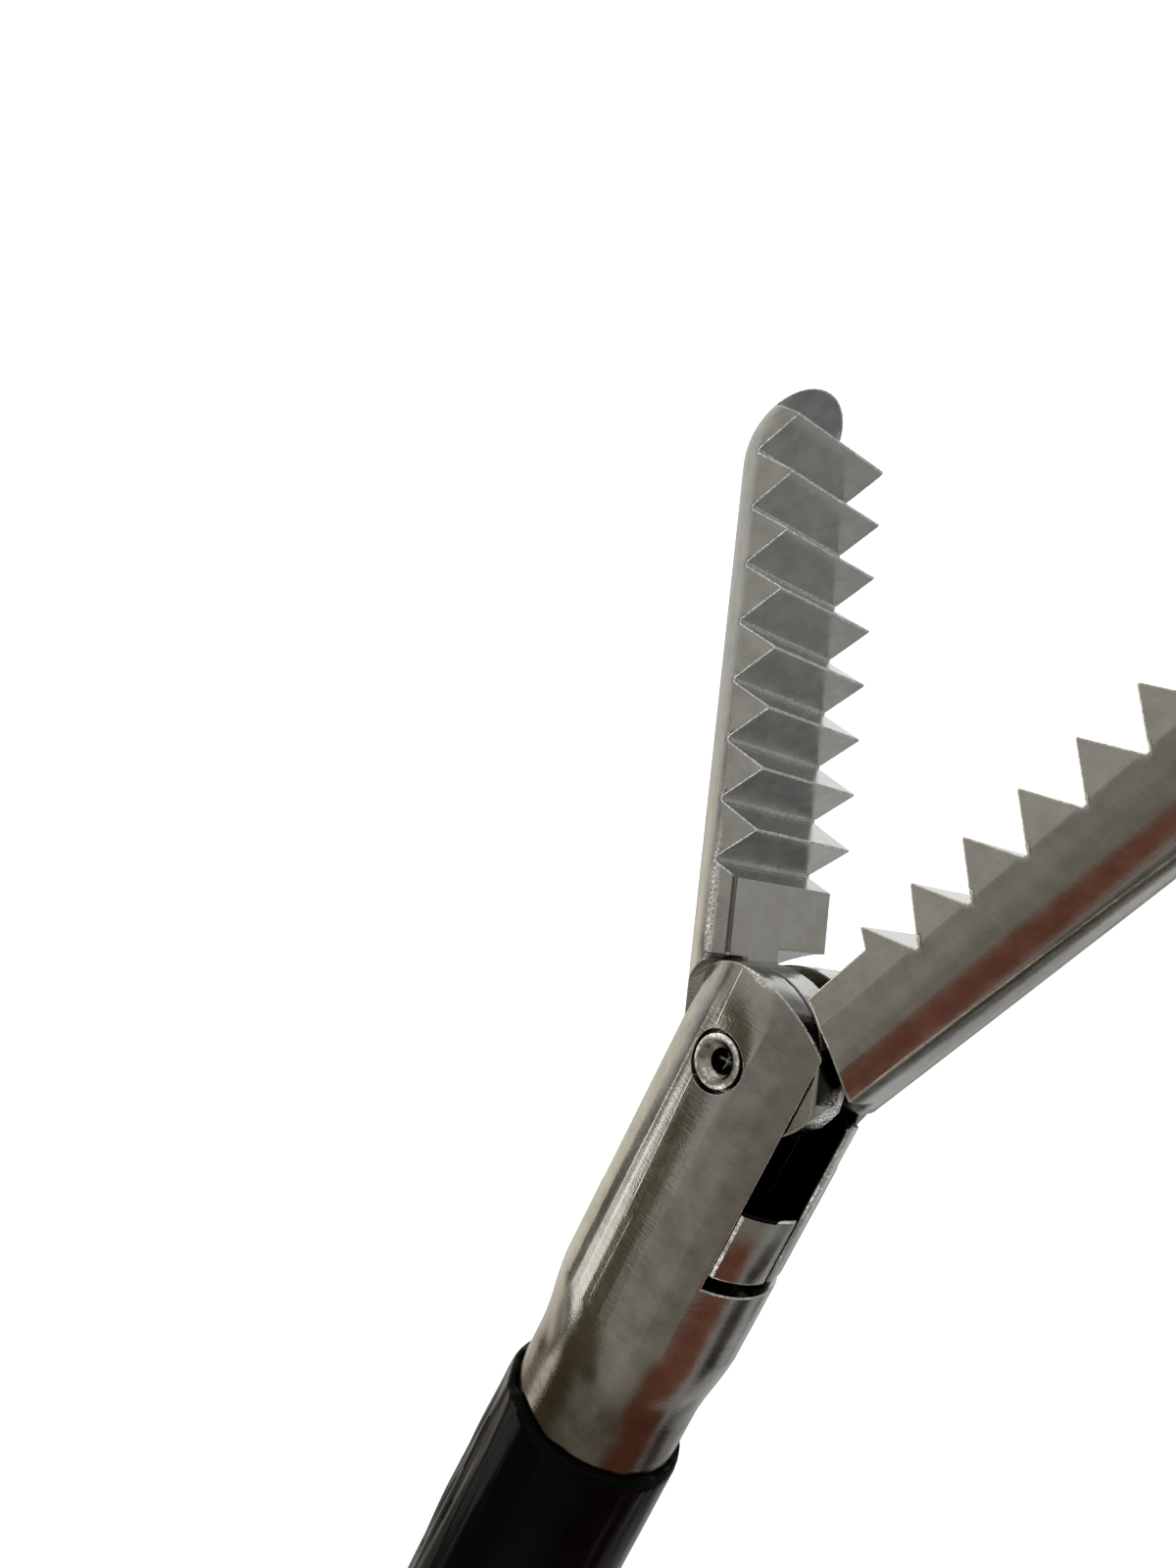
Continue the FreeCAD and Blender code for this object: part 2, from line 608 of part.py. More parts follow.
# Drive block: slides in the clevis slot and pushes each jaw by an arm and a pin
blockHalf = s.slot_half - s.side_play
blockRound = cylinder(
    "block_round", s.block_radius, s.block_rear - s.arm_tip, s.reach - s.block_rear, turn=ALONG_X
)
blockCore = box(
    "block_core",
    (s.reach - s.block_rear, -s.block_radius, -blockHalf),
    (s.reach - s.block_front, s.block_radius, blockHalf),
)
blockAdd = [blockCore]
blockGrooves = []
for side, sign in (("left", 1), ("right", -1)):
    turn = ALONG_Z if sign > 0 else HALF_TURN
    thick = box(
        side + "_arm_thick",
        (-s.block_front, s.arm_inner, s.arm_face),
        (-s.arm_step, s.block_radius, blockHalf),
    )
    thin = box(
        side + "_arm_thin",
        (-s.arm_step, s.arm_inner, s.arm_face),
        (-s.arm_tip, s.block_radius, s.lap_face),
    )
    arm = fuse(side + "_arm", thick, thin)
    place(arm, s.reach, turn=turn)
    blockAdd.append(arm)
    groove = box(
        side + "_groove",
        (-s.block_rear, s.arm_inner, 0),
        (-s.block_front, s.block_radius, s.arm_face),
    )
    blockGrooves.append(place(group(side + "_groove_placed", groove), s.reach, turn=turn))
rodSeat = cylinder(
    "rod_seat", s.rod_radius, s.rod_seat, s.reach - s.block_rear, turn=ALONG_X
)
pinHoles = []
for side, sign in (("left", 1), ("right", -1)):
    hole = cylinder("pin_hole_" + side, s.pin_radius, s.lap_face - s.pin_start)
    place(
        hole,
        s.reach - s.pin_behind,
        s.pin_across * sign,
        s.pin_start if sign > 0 else -s.lap_face,
    )
    pinHoles.append(hole)
finish(
    cut(
        "block_cut",
        common("block_form", fuse("block_solid", *blockAdd), blockRound),
        rodSeat, *blockGrooves, *pinHoles,
    ),
    "drive_block",
)
for side, sign in (("left", 1), ("right", -1)):
    pin = cylinder("pin_" + side, s.pin_radius, s.pin_reach - s.pin_start)
    place(
        pin,
        s.reach - s.pin_behind,
        s.pin_across * sign,
        s.pin_start if sign > 0 else -s.pin_reach,
    )
    finish(pin, "drive_pin_" + side)

# Push rod, from the drive block to the ball in the handle
rodFront = s.reach - s.block_rear + s.rod_seat
rodRear = -leverBack - s.ball_radius / 2
finish(cylinder("rod", s.rod_radius, rodFront - rodRear, rodRear, turn=ALONG_X), "push_rod")
ball = cut(
    "ball_cut",
    sphere("ball", s.ball_radius, -leverBack),
    cylinder("ball_bore", s.rod_radius, s.ball_radius * 2, rodRear, turn=ALONG_X),
)
finish(ball, "rod_ball")

# Tube, insulating sleeve and rod bushes
tubeFront = s.reach - taperEnd
tubeRear = -hubRear
finish(
    turned("tube_turned", [
        (tubeRear, tubeInner),
        (tubeFront, tubeInner),
        (tubeFront, s.tube_radius),
        (tubeRear, s.tube_radius),
    ]),
    "outer_tube",
)
sleeveFront = s.reach - s.sleeve_setback
finish(
    turned("sleeve_turned", [
        (0, s.tube_radius),
        (sleeveFront, s.tube_radius),
        (sleeveFront, s.sleeve_radius),
        (0, s.sleeve_radius),
    ]),
    "insulation_sleeve",
)
for label, front in (
    ("front_rod_bush", s.reach - s.front_bush),
    ("rear_rod_bush", -s.rear_bush),
):
    finish(
        turned(label + "_turned", [
            (front - s.bush_length, s.rod_radius + s.rod_play),
            (front, s.rod_radius + s.rod_play),
            (front, tubeInner),
            (front - s.bush_length, tubeInner),
        ]),
        label,
    )

# Metal hub that carries the tube and turns in the handle
ringGroove = s.ring_section
finish(
    turned("hub_turned", [
        (-s.hub_setback, s.tube_radius),
        (-s.hub_setback, s.hub_outer),
        (-flangeFront, s.hub_outer),
        (-flangeFront, s.flange_radius),
        (-flangeRear, s.flange_radius),
        (-flangeRear, s.hub_outer),
        (-ringBack + ringGroove, s.hub_outer),
        (-ringBack + ringGroove, s.hub_outer - s.ring_section),
        (-ringBack - ringGroove, s.hub_outer - s.ring_section),
        (-ringBack - ringGroove, s.hub_outer),
        (-hubRear, s.hub_outer),
        (-hubRear, s.tube_radius),
    ]),
    "knob_hub",
)
frictionRing = doc.addObject("Part::Torus", "friction_ring_torus")
bind(frictionRing, "Radius1", s.hub_outer)
bind(frictionRing, "Radius2", s.ring_section)
place(frictionRing, -ringBack, turn=ALONG_X)
finish(frictionRing, "friction_ring")
rodSeal = doc.addObject("Part::Torus", "rod_seal_torus")
bind(rodSeal, "Radius1", s.rod_radius + s.rod_play + s.seal_section)
bind(rodSeal, "Radius2", s.seal_section)
place(rodSeal, -hubRear - s.seal_section, turn=ALONG_X)
finish(rodSeal, "rod_seal")

# Rotation knob: turned, with a ring of finger flutes
knobBody = turned("knob_turned", [
    (0, s.tube_radius),
    (0, s.knob_nose),
    (-s.knob_nose_length, s.knob_radius),
    (-s.knob_length, s.knob_radius),
    (-s.knob_length, s.hub_outer),
    (-s.hub_setback, s.hub_outer),
    (-s.hub_setback, s.tube_radius),
])
doc.recompute()
fluteSketch = newSketch(knobBody, "flute_outline", "YZ_Plane")
fluteSketch.addGeometry(
    Part.Circle(vector(s.flute_out.value, 0, 0), vector(0, 0, 1), s.flute_radius.value)
)
pinPoint(fluteSketch, 0, 3, s.flute_out, 0)
fluteRadius = fluteSketch.addConstraint(Sketcher.Constraint("Radius", 0, s.flute_radius.value))
bind(fluteSketch, "Constraints[%d]" % fluteRadius, s.flute_radius)
flute = knobBody.newObject("PartDesign::Pocket", "flute")
flute.Profile = fluteSketch
flute.Type = 1
flute.Midplane = True
flutes = knobBody.newObject("PartDesign::PolarPattern", "flutes")
flutes.Originals = [flute]
flutes.Axis = (originPlane(knobBody, "X_Axis"), [""])
flutes.Angle = 360
flutes.Occurrences = int(s.flute_count.value)
bind(flutes, "Occurrences", s.flute_count)
knobBody.Tip = flutes
portHole = cylinder(
    "port_hole", s.port_radius, s.knob_radius, -s.port_back, s.hub_outer, 0, ALONG_Y
)
finish(cut("knob_cut", knobBody, portHole), "rotation_knob")

# Flush port and its cap
portForm = cylinder(
    "port_form", s.port_radius, s.port_length - s.hub_outer, -s.port_back, s.hub_outer, 0, ALONG_Y
)
portLip = cylinder(
    "port_lip", s.port_radius + s.port_bore / 2, s.port_bore,
    -s.port_back, s.port_length - s.port_bore * 2, 0, ALONG_Y,
)
portBore = cylinder(
    "port_bore_cut", s.port_bore, s.port_length, -s.port_back, s.hub_outer, 0, ALONG_Y
)
finish(cut("port_cut", fuse("port_solid", portForm, portLip), portBore), "flush_port")
capTop = s.port_length + s.cap_top
capForm = cylinder(
    "cap_form", s.cap_radius, s.cap_length, -s.port_back, capTop - s.cap_length, 0, ALONG_Y
)
capRoom = cylinder(
    "cap_room", s.port_radius + s.port_bore / 2, s.cap_length - s.cap_top,
    -s.port_back, capTop - s.cap_length, 0, ALONG_Y,
)
finish(cut("cap_cut", capForm, capRoom), "port_cap")

# Handle housing and fixed finger ring, one form split on the mid plane
collar = cylinder(
    "collar", s.collar_radius, frontBend - collarFront + s.housing_radius,
    -frontBend - s.housing_radius, turn=ALONG_X,
)
collarFlat = box(
    "collar_flat",
    (-frontBend - s.housing_radius, -s.collar_radius, -s.handle_half),
    (-collarFront, s.collar_radius, s.handle_half),
)
collarForm = common("collar_form", collar, collarFlat)
housing = bendPlate(
    "housing", s.handle_half,
    (-frontBend, 0, s.collar_radius),
    (-rearBend, 0, s.housing_radius),
    rounding=s.handle_round,
)
ringUpper = (-fingerBack, -s.ring_drop)
ringLower = (-fingerBack - s.ring_shift, -s.ring_drop - s.ring_low)
grip = bendPlate(
    "grip", s.ring_half,
    (-gripBack, -s.grip_drop, s.grip_top),
    (ringUpper[0], ringUpper[1] + s.ring_outer, s.ring_wall),
    rounding=s.ring_round,
)
fingerRing = bendPlate(
    "finger_ring", s.ring_half,
    (*ringUpper, s.ring_outer),
    (*ringLower, s.ring_outer_low),
    hole=(
        (*ringUpper, s.ring_outer - s.ring_wall),
        (*ringLower, s.ring_outer_low - s.ring_wall),
    ),
    rounding=s.ring_round,
)
ringHole = bendPlate(
    "ring_hole", s.handle_half,
    (*ringUpper, s.ring_outer - s.ring_wall),
    (*ringLower, s.ring_outer_low - s.ring_wall),
)
gripOnly = cut("grip_trimmed", grip, ringHole)
handleForm = fuse("handle_form", collarForm, housing, gripOnly, fingerRing)

# Room inside the housing for the hub, rod, lever, screws and connector post
hubBearing = s.hub_outer + s.hub_play
bearing = turned("bearing_room", [
    (-collarFront + s.hub_play, 0),
    (-collarFront + s.hub_play, hubBearing),
    (-flangeFront + s.hub_play, hubBearing),
    (-flangeFront + s.hub_play, s.flange_radius + s.hub_play),
    (-flangeRear - s.hub_play, s.flange_radius + s.hub_play),
    (-flangeRear - s.hub_play, hubBearing),
    (-ringBack + s.ring_section * 1.2, hubBearing),
    (-ringBack + s.ring_section * 1.2, hubBearing + s.ring_section),
    (-ringBack - s.ring_section * 1.2, hubBearing + s.ring_section),
    (-ringBack - s.ring_section * 1.2, hubBearing),
    (-hubRear - s.seal_section * 3, hubBearing),
    (-hubRear - s.seal_section * 3, 0),
])
rodRoom = cylinder(
    "rod_room", s.rod_radius * 2, leverBack - hubRear, -leverBack, turn=ALONG_X
)
roomHalf = s.lever_half + s.lever_play
leverRoom = bendPlate(
    "lever_room", roomHalf,
    (-leverBack, s.lever_arm, s.lever_head + 1),
    (-footBack + 1, -footDrop, s.lever_foot + s.lever_head),
)
forkRoomFront = -leverBack + s.fork_wide + s.handle_wall
forkRoom = box(
    "fork_room",
    (-leverBack - s.fork_wide - s.handle_wall, -s.fork_down - s.fork_wide, -roomHalf),
    (forkRoomFront, s.lever_arm + s.fork_up, roomHalf),
)
screwRoom = cylinder(
    "screw_room", s.screw_radius, s.handle_half * 2, -leverBack, s.lever_arm, -s.handle_half
)
screwHeadRoom = cylinder(
    "screw_head_room", s.screw_head, s.screw_head_depth,
    -leverBack, s.lever_arm, s.handle_half - s.screw_head_depth,
)
nutRoom = cylinder(
    "nut_room", s.screw_head, s.screw_head_depth, -leverBack, s.lever_arm, -s.handle_half
)
housingEnd = -rearBend - s.housing_radius
postRoom = cylinder(
    "post_room", s.post_flange, s.post_seat, housingEnd, s.post_lift, turn=ALONG_X
)
jointPlaces = [
    (-frontBend - s.hub_outer, -s.hub_outer - s.joint_screw_head, s.handle_half),
    (forkRoomFront + s.handle_wall + s.joint_screw_head, s.lever_arm, s.handle_half),
    (ringUpper[0], ringUpper[1] + s.ring_outer + s.joint_screw_head, s.ring_half),
]
jointRooms = []
jointScrews = []
for number, (x, y, top) in enumerate(jointPlaces, start=1):
    for word, kept in (("joint_room", jointRooms), ("joint_screw", jointScrews)):
        shank = cylinder(
            "%s_shank_%d" % (word, number), s.joint_screw,
            top * 2 - s.joint_screw_depth, x, y, s.joint_screw_depth - top,
        )
        head = cylinder(
            "%s_head_%d" % (word, number), s.joint_screw_head,
            s.joint_screw_depth, x, y, top - s.joint_screw_depth,
        )
        kept.append(fuse("%s_%d" % (word, number), shank, head))
rooms = fuse(
    "handle_rooms", bearing, rodRoom, leverRoom, forkRoom, screwRoom, screwHeadRoom, nutRoom,
    postRoom, *jointRooms,
)
far = thumbBack * 2
upperSpace = box("upper_space", (-far, -far, 0), (far, far, s.handle_half * 2))
lowerSpace = box("lower_space", (-far, -far, -s.handle_half * 2), (far, far, 0))
finish(
    cut("upper_cut", common("upper_form", handleForm, upperSpace), rooms), "handle_upper_half"
)
finish(
    cut("lower_cut", common("lower_form", handleForm, lowerSpace), rooms), "handle_lower_half"
)
driverSlots = []
for number, (x, y, top) in enumerate(jointPlaces, start=1):
    driverSlots.append(box(
        "driver_slot_%d" % number,
        (x - s.joint_screw_head, y - s.joint_screw / 4, top - s.joint_screw_depth / 2),
        (x + s.joint_screw_head, y + s.joint_screw / 4, top),
    ))
finish(
    cut("housing_screws_cut", fuse("joint_screws", *jointScrews), *driverSlots), "housing_screws"
)

# Connector post
postBack = housingEnd - s.post_flange_width
postTurned = turned("post_turned", [
    (housingEnd + s.post_seat, 0),
    (housingEnd + s.post_seat, s.post_flange),
    (postBack, s.post_flange),
    (postBack, s.post_radius),
    (postBack - s.post_length + s.post_radius / 2, s.post_radius),
    (postBack - s.post_length, s.post_radius / 2),
    (postBack - s.post_length, 0),
])
finish(place(group("post_placed", postTurned), 0, s.post_lift), "connector_post")

# Thumb lever, its metal fork, bush, screw and nut
thumbUpper = (-thumbBack, -s.thumb_drop)
thumbLower = (-thumbBack - s.thumb_shift, -s.thumb_drop - s.thumb_low)
leverArm = bendPlate(
    "lever_arm", s.lever_half,
    (-leverBack, s.lever_arm, s.lever_head),
    (-footBack, -footDrop, s.lever_foot),
    rounding=s.ring_round / 2,
)
thumbRing = bendPlate(
    "thumb_ring", s.ring_half,
    (*thumbUpper, s.thumb_outer),
    (*thumbLower, s.thumb_outer),
    hole=(
        (*thumbUpper, s.thumb_outer - s.ring_wall),
        (*thumbLower, s.thumb_outer - s.ring_wall),
    ),
    rounding=s.ring_round,
)
forkSeat = box(
    "fork_seat",
    (-leverBack - s.fork_wide, -s.fork_down, -s.fork_half),
    (-leverBack + s.fork_wide, s.lever_arm + s.fork_up, s.fork_half),
)
mouthHalf = s.ball_radius + s.ball_play
leverMouth = box(
    "lever_mouth",
    (-leverBack - mouthHalf, -s.lever_arm * 2, -mouthHalf),
    (-leverBack + s.lever_head * 2, s.ball_radius * 1.4, mouthHalf),
)
leverBore = cylinder(
    "lever_bore", s.screw_radius + s.screw_play, s.lever_half * 2,
    -leverBack, s.lever_arm, -s.lever_half,
)
leverForm = fuse("lever_form", leverArm, thumbRing)
finish(cut("lever_cut", leverForm, forkSeat, leverMouth, leverBore), "thumb_lever")
forkForm = box(
    "fork_form",
    (-leverBack - s.fork_wide, -s.fork_down, -s.fork_half),
    (-leverBack + s.fork_wide, s.lever_arm + s.fork_up, s.fork_half),
)
ballSlot = box(
    "ball_slot",
    (-leverBack - mouthHalf, -s.fork_down, -mouthHalf),
    (-leverBack + mouthHalf, s.ball_radius * 1.3, mouthHalf),
)
neckHalf = s.rod_radius * 1.4
neckSlot = box(
    "neck_slot",
    (-leverBack, -s.fork_down, -neckHalf),
    (-leverBack + s.fork_wide, neckHalf, neckHalf),
)
bushSeat = cylinder(
    "bush_seat", s.bush_outer, s.fork_half * 2, -leverBack, s.lever_arm, -s.fork_half
)
finish(cut("fork_cut", forkForm, ballSlot, neckSlot, bushSeat), "lever_fork")
bushForm = cylinder(
    "bush_form", s.bush_outer, s.fork_half * 2, -leverBack, s.lever_arm, -s.fork_half
)
bushBore = cylinder(
    "bush_bore", s.screw_radius + s.screw_play, s.fork_half * 2,
    -leverBack, s.lever_arm, -s.fork_half,
)
finish(cut("bush_cut", bushForm, bushBore), "lever_bush")
nutTop = s.screw_head_depth - s.handle_half
leverShank = cylinder(
    "lever_shank", s.screw_radius, s.handle_half * 2, -leverBack, s.lever_arm, -s.handle_half
)
leverHead = cylinder(
    "lever_screw_head", s.screw_head, s.screw_head_depth,
    -leverBack, s.lever_arm, s.handle_half - s.screw_head_depth,
)
leverDriver = box(
    "lever_driver",
    (-leverBack - s.screw_head, s.lever_arm - s.screw_radius / 4,
     s.handle_half - s.screw_head_depth / 2),
    (-leverBack + s.screw_head, s.lever_arm + s.screw_radius / 4, s.handle_half),
)
finish(cut("lever_screw_cut", fuse("lever_screw_form", leverShank, leverHead), leverDriver),
       "lever_screw")
nutForm = cylinder(
    "nut_form", s.screw_head, s.screw_head_depth, -leverBack, s.lever_arm, -s.handle_half
)
nutBore = cylinder(
    "nut_bore", s.screw_radius, s.screw_head_depth, -leverBack, s.lever_arm, -s.handle_half
)
finish(cut("nut_cut", nutForm, nutBore), "lever_nut")

# Build, check and write
doc.recompute()
for thing in doc.Objects:
    for state in thing.State:
        if state in ("Invalid", "Error"):
            raise RuntimeError("%s did not build" % thing.Name)
for thing in finished:
    shape = thing.Shape
    if shape.isNull() or not shape.isValid() or not shape.Solids:
        raise RuntimeError("%s has no valid solid" % thing.Label)
    shape.exportStep("parts/%s.step" % thing.Label)
    print("%-20s solids %d volume %9.2f mm3" % (thing.Label, len(shape.Solids), shape.Volume))
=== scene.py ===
import math
import bmesh
import bpy
import numpy as np
from mathutils import Matrix, Vector, noise as clouds


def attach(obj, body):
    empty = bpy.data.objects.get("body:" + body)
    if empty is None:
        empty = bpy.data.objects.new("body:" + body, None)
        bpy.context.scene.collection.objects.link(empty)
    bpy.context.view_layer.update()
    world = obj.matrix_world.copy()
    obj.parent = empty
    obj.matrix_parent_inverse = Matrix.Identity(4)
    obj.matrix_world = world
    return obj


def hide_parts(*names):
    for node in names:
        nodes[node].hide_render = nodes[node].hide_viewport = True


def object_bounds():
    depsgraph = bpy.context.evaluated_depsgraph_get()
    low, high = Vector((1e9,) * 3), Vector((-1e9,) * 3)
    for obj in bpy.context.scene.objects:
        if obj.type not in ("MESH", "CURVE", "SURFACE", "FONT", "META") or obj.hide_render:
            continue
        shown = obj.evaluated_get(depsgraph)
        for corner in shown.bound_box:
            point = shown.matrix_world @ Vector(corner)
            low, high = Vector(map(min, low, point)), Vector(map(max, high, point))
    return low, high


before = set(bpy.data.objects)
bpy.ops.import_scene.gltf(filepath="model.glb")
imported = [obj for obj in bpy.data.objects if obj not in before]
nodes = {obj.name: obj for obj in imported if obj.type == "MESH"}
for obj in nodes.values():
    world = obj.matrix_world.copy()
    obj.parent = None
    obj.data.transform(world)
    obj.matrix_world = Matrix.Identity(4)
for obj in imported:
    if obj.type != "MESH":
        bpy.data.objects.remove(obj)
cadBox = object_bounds()
mm = 0.001
pivot = np.array([312.0, 0.0, 0.0])  # the jaws' pivot, in millimetres
print("frame loaded,", len(nodes), "nodes")

# Camera, at the photograph's place close over the jaws. The directions are those of its picture.
camera = {
    "place": (321.554, -13.493, 24.318),
    "right": (0.409, -0.602, -0.685),
    "down": (-0.892, -0.421, -0.163),
    "ahead": (-0.190, 0.678, -0.710),
    "lens": 26.29,
    "sensorHeight": 36.0,
    "nearest": 0.5,
}
u, _, v = np.linalg.svd([camera["right"], camera["down"], camera["ahead"]])
right, down, ahead = u @ v  # made square to each other
lens = bpy.data.cameras.new("camera")
lens.sensor_fit = "VERTICAL"
lens.sensor_height = camera["sensorHeight"]
lens.lens = camera["lens"]
lens.clip_start = camera["nearest"] * mm
cameraObject = bpy.data.objects.new("camera", lens)
bpy.context.scene.collection.objects.link(cameraObject)
matrix = np.eye(4)
matrix[:3, :3] = np.column_stack((right, -down, -ahead))
matrix[:3, 3] = np.array(camera["place"]) * mm
cameraObject.matrix_world = Matrix(matrix.tolist())
bpy.context.scene.camera = cameraObject
bpy.context.scene.view_settings.view_transform = "Standard"


# Nodes
def linear(hexColour):
    # sRGB hex to the linear values that Blender works in
    values = [int(hexColour[i:i + 2], 16) / 255 for i in (1, 3, 5)]
    return [v / 12.92 if v <= 0.04045 else ((v + 0.055) / 1.055) ** 2.4 for v in values] + [1.0]


def addNode(tree, kind, links=None, **settings):
    # one node: settings name its options or its sockets, links give what runs into a socket
    node = tree.nodes.new(kind)
    for key, value in settings.items():
        if hasattr(node, key):
            setattr(node, key, value)
        else:
            node.inputs[key.replace("_", " ")].default_value = value
    for socket, source in (links or {}).items():
        tree.links.new(source, node.inputs[socket])
    return node


def feed(tree, node, socket, value):
    # a socket gets another socket's value, or a number of its own
    if isinstance(value, bpy.types.NodeSocket):
        tree.links.new(value, node.inputs[socket])
    else:
        node.inputs[socket].default_value = value


def calculate(tree, operation, *values):
    node = addNode(tree, "ShaderNodeMath", operation=operation)
    for i, value in enumerate(values):
        feed(tree, node, i, value)
    return node.outputs[0]


def vectorMath(tree, operation, *values):
    node = addNode(tree, "ShaderNodeVectorMath", operation=operation)
    for i, value in enumerate(values):
        feed(tree, node, i, value)
    return node.outputs["Value" if operation in ("DOT_PRODUCT", "LENGTH") else "Vector"]


def times(tree, first, *others):
    for other in others:
        first = calculate(tree, "MULTIPLY", first, other)
    return first


def remap(tree, value, low, high, newLow, newHigh, kind="LINEAR"):
    node = addNode(tree, "ShaderNodeMapRange", {0: value}, interpolation_type=kind)
    for i, amount in enumerate((low, high, newLow, newHigh), start=1):
        node.inputs[i].default_value = amount
    return node.outputs[0]


def blend(tree, share, first, second):
    # colours by share; each is a hex colour, a list of linear values or a socket
    node = addNode(tree, "ShaderNodeMix", {0: share}, data_type="RGBA")
    for socket, colour in ((6, first), (7, second)):
        feed(tree, node, socket, linear(colour) if isinstance(colour, str) else colour)
    return node.outputs[2]


def axis(tree, place, name):
    return addNode(tree, "ShaderNodeSeparateXYZ", {0: place}).outputs[name]


def attribute(tree, name):
    return addNode(tree, "ShaderNodeAttribute", attribute_name=name).outputs["Fac"]


# Room round the object: soft panels and darker places that the steel reflects.
# Each is a direction, the half angles where it is full and where it has gone, a colour and a strength.
room = {
    "ceiling": "#a6a59f",
    "below": [(-0.45, "#979896"), (-0.05, "#b4b4b2"), (0.35, "#d2d2d1"), (0.85, "#b8b8b2")],
    "horizon": (-0.30, 0.10),
    "backdrop": "#fdfdfd",
    "panels": {
        "brightFloor": ((0.15, 0.50, -0.85), 15, 35, "#f6f6f6", 1.0),
        "farFoot": ((0.60, -0.14, -0.79), 12, 25, "#7e7e80", 1.0),
        "outerFoot": ((0.44, -0.56, -0.70), 10, 24, "#b2b3b5", 1.0),
        "midFoot": ((-0.42, -0.20, -0.885), 3, 8, "#6a6a6d", 1.0),
        "nearFoot": ((-0.45, 0.33, -0.83), 10, 20, "#a8a8aa", 1.0),
        "jawWall": ((-0.12, 0.93, -0.34), 22, 40, "#c8c7c2", 1.0),
        "paleWall": ((-0.54, 0.80, -0.25), 9, 22, "#e4ddcb", 1.0),
        "darkSide": ((-0.30, -0.90, 0.30), 22, 52, "#7a766d", 1.0),
        "dimCeiling": ((-0.22, -0.30, 0.93), 10, 24, "#83817b", 1.0),
        "greyCeiling": ((-0.62, -0.15, 0.77), 6, 21, "#87867f", 1.0),
        "oliveCorner": ((-0.72, 0.45, 0.58), 20, 32, "#544e3c", 1.0),
        "lampNear": ((-0.46, 0.77, 0.42), 4, 9, "#fffaf4", 1.8),
        "lampFar": ((-0.58, 0.66, 0.46), 4, 11, "#fffaf2", 1.3),
        "horizonGap": ((-0.50, 0.86, 0.06), 4, 8, "#5d5a49", 1.0),
        "dimWall": ((-0.34, 0.89, 0.30), 6, 11, "#77746a", 1.0),
        "warmWall": ((-0.66, -0.75, -0.03), 14, 24, "#6c4336", 1.0),
        "darkFoot": ((-0.50, -0.63, -0.60), 7, 13, "#3c372f", 1.0),
        "greyFoot": ((-0.16, -0.66, -0.73), 8, 20, "#7c7c7f", 1.0),
    },
}
world = bpy.data.worlds.new("studio")
world.use_nodes = True
tree = world.node_tree
tree.nodes.clear()
direction = addNode(tree, "ShaderNodeTexCoord").outputs["Generated"]
ramp = addNode(tree, "ShaderNodeValToRGB", {0: remap(tree, axis(tree, direction, "Y"), -1, 1, 0, 1)})
for sideways, _ in room["below"][:-2]:
    ramp.color_ramp.elements.new(0.5 + sideways / 2)
for stop, (sideways, hexColour) in zip(ramp.color_ramp.elements, room["below"]):
    stop.position = 0.5 + sideways / 2
    stop.color = linear(hexColour)
horizon = remap(tree, axis(tree, direction, "Z"), *room["horizon"], 0, 1)
colour = blend(tree, horizon, ramp.outputs[0], room["ceiling"])
for towards, full, gone, hexColour, strength in room["panels"].values():
    facing = vectorMath(tree, "DOT_PRODUCT", direction, Vector(towards).normalized())
    low, high = math.cos(math.radians(gone)), math.cos(math.radians(full))
    share = remap(tree, facing, low, high, 0, 1, "SMOOTHSTEP")
    colour = blend(tree, share, colour, [c * strength for c in linear(hexColour)[:3]] + [1.0])
seen = addNode(tree, "ShaderNodeLightPath").outputs["Is Camera Ray"]
background = addNode(tree, "ShaderNodeBackground", {0: blend(tree, seen, colour, room["backdrop"])})
addNode(tree, "ShaderNodeOutputWorld", {0: background.outputs[0]})
bpy.context.scene.world = world

# Soft overhead light for the floor and for all that isn't metal
overhead = {"energy": 6.5, "angle": 110, "from": (-0.35, 0.45, 0.82)}
sun = bpy.data.lights.new("softOverhead", "SUN")
sun.energy = overhead["energy"]
sun.angle = math.radians(overhead["angle"])
sunObject = bpy.data.objects.new("softOverhead", sun)
bpy.context.scene.collection.objects.link(sunObject)
sunObject.rotation_euler = Vector(overhead["from"]).to_track_quat("Z", "Y").to_euler()
sunObject.visible_glossy = False

# Floor under the object's lowest point
floorSizes = {"side": 12.0, "colour": "#f4f4f2", "roughness": 0.9}
floorZ = cadBox[0].z
floorMesh = bpy.data.meshes.new("floor")
half = floorSizes["side"] / 2
corners = [(-half, -half, floorZ), (half, -half, floorZ), (half, half, floorZ), (-half, half, floorZ)]
floorMesh.from_pydata(corners, [], [(0, 1, 2, 3)])
floor = bpy.data.objects.new("floor", floorMesh)
bpy.context.scene.collection.objects.link(floor)
floor.visible_glossy = False
floorMaterial = bpy.data.materials.new("paleFloor")
floorMaterial.use_nodes = True
shader = floorMaterial.node_tree.nodes["Principled BSDF"]
shader.inputs["Base Color"].default_value = linear(floorSizes["colour"])
shader.inputs["Roughness"].default_value = floorSizes["roughness"]
floorMesh.materials.append(floorMaterial)
print("camera, room, light and floor made")

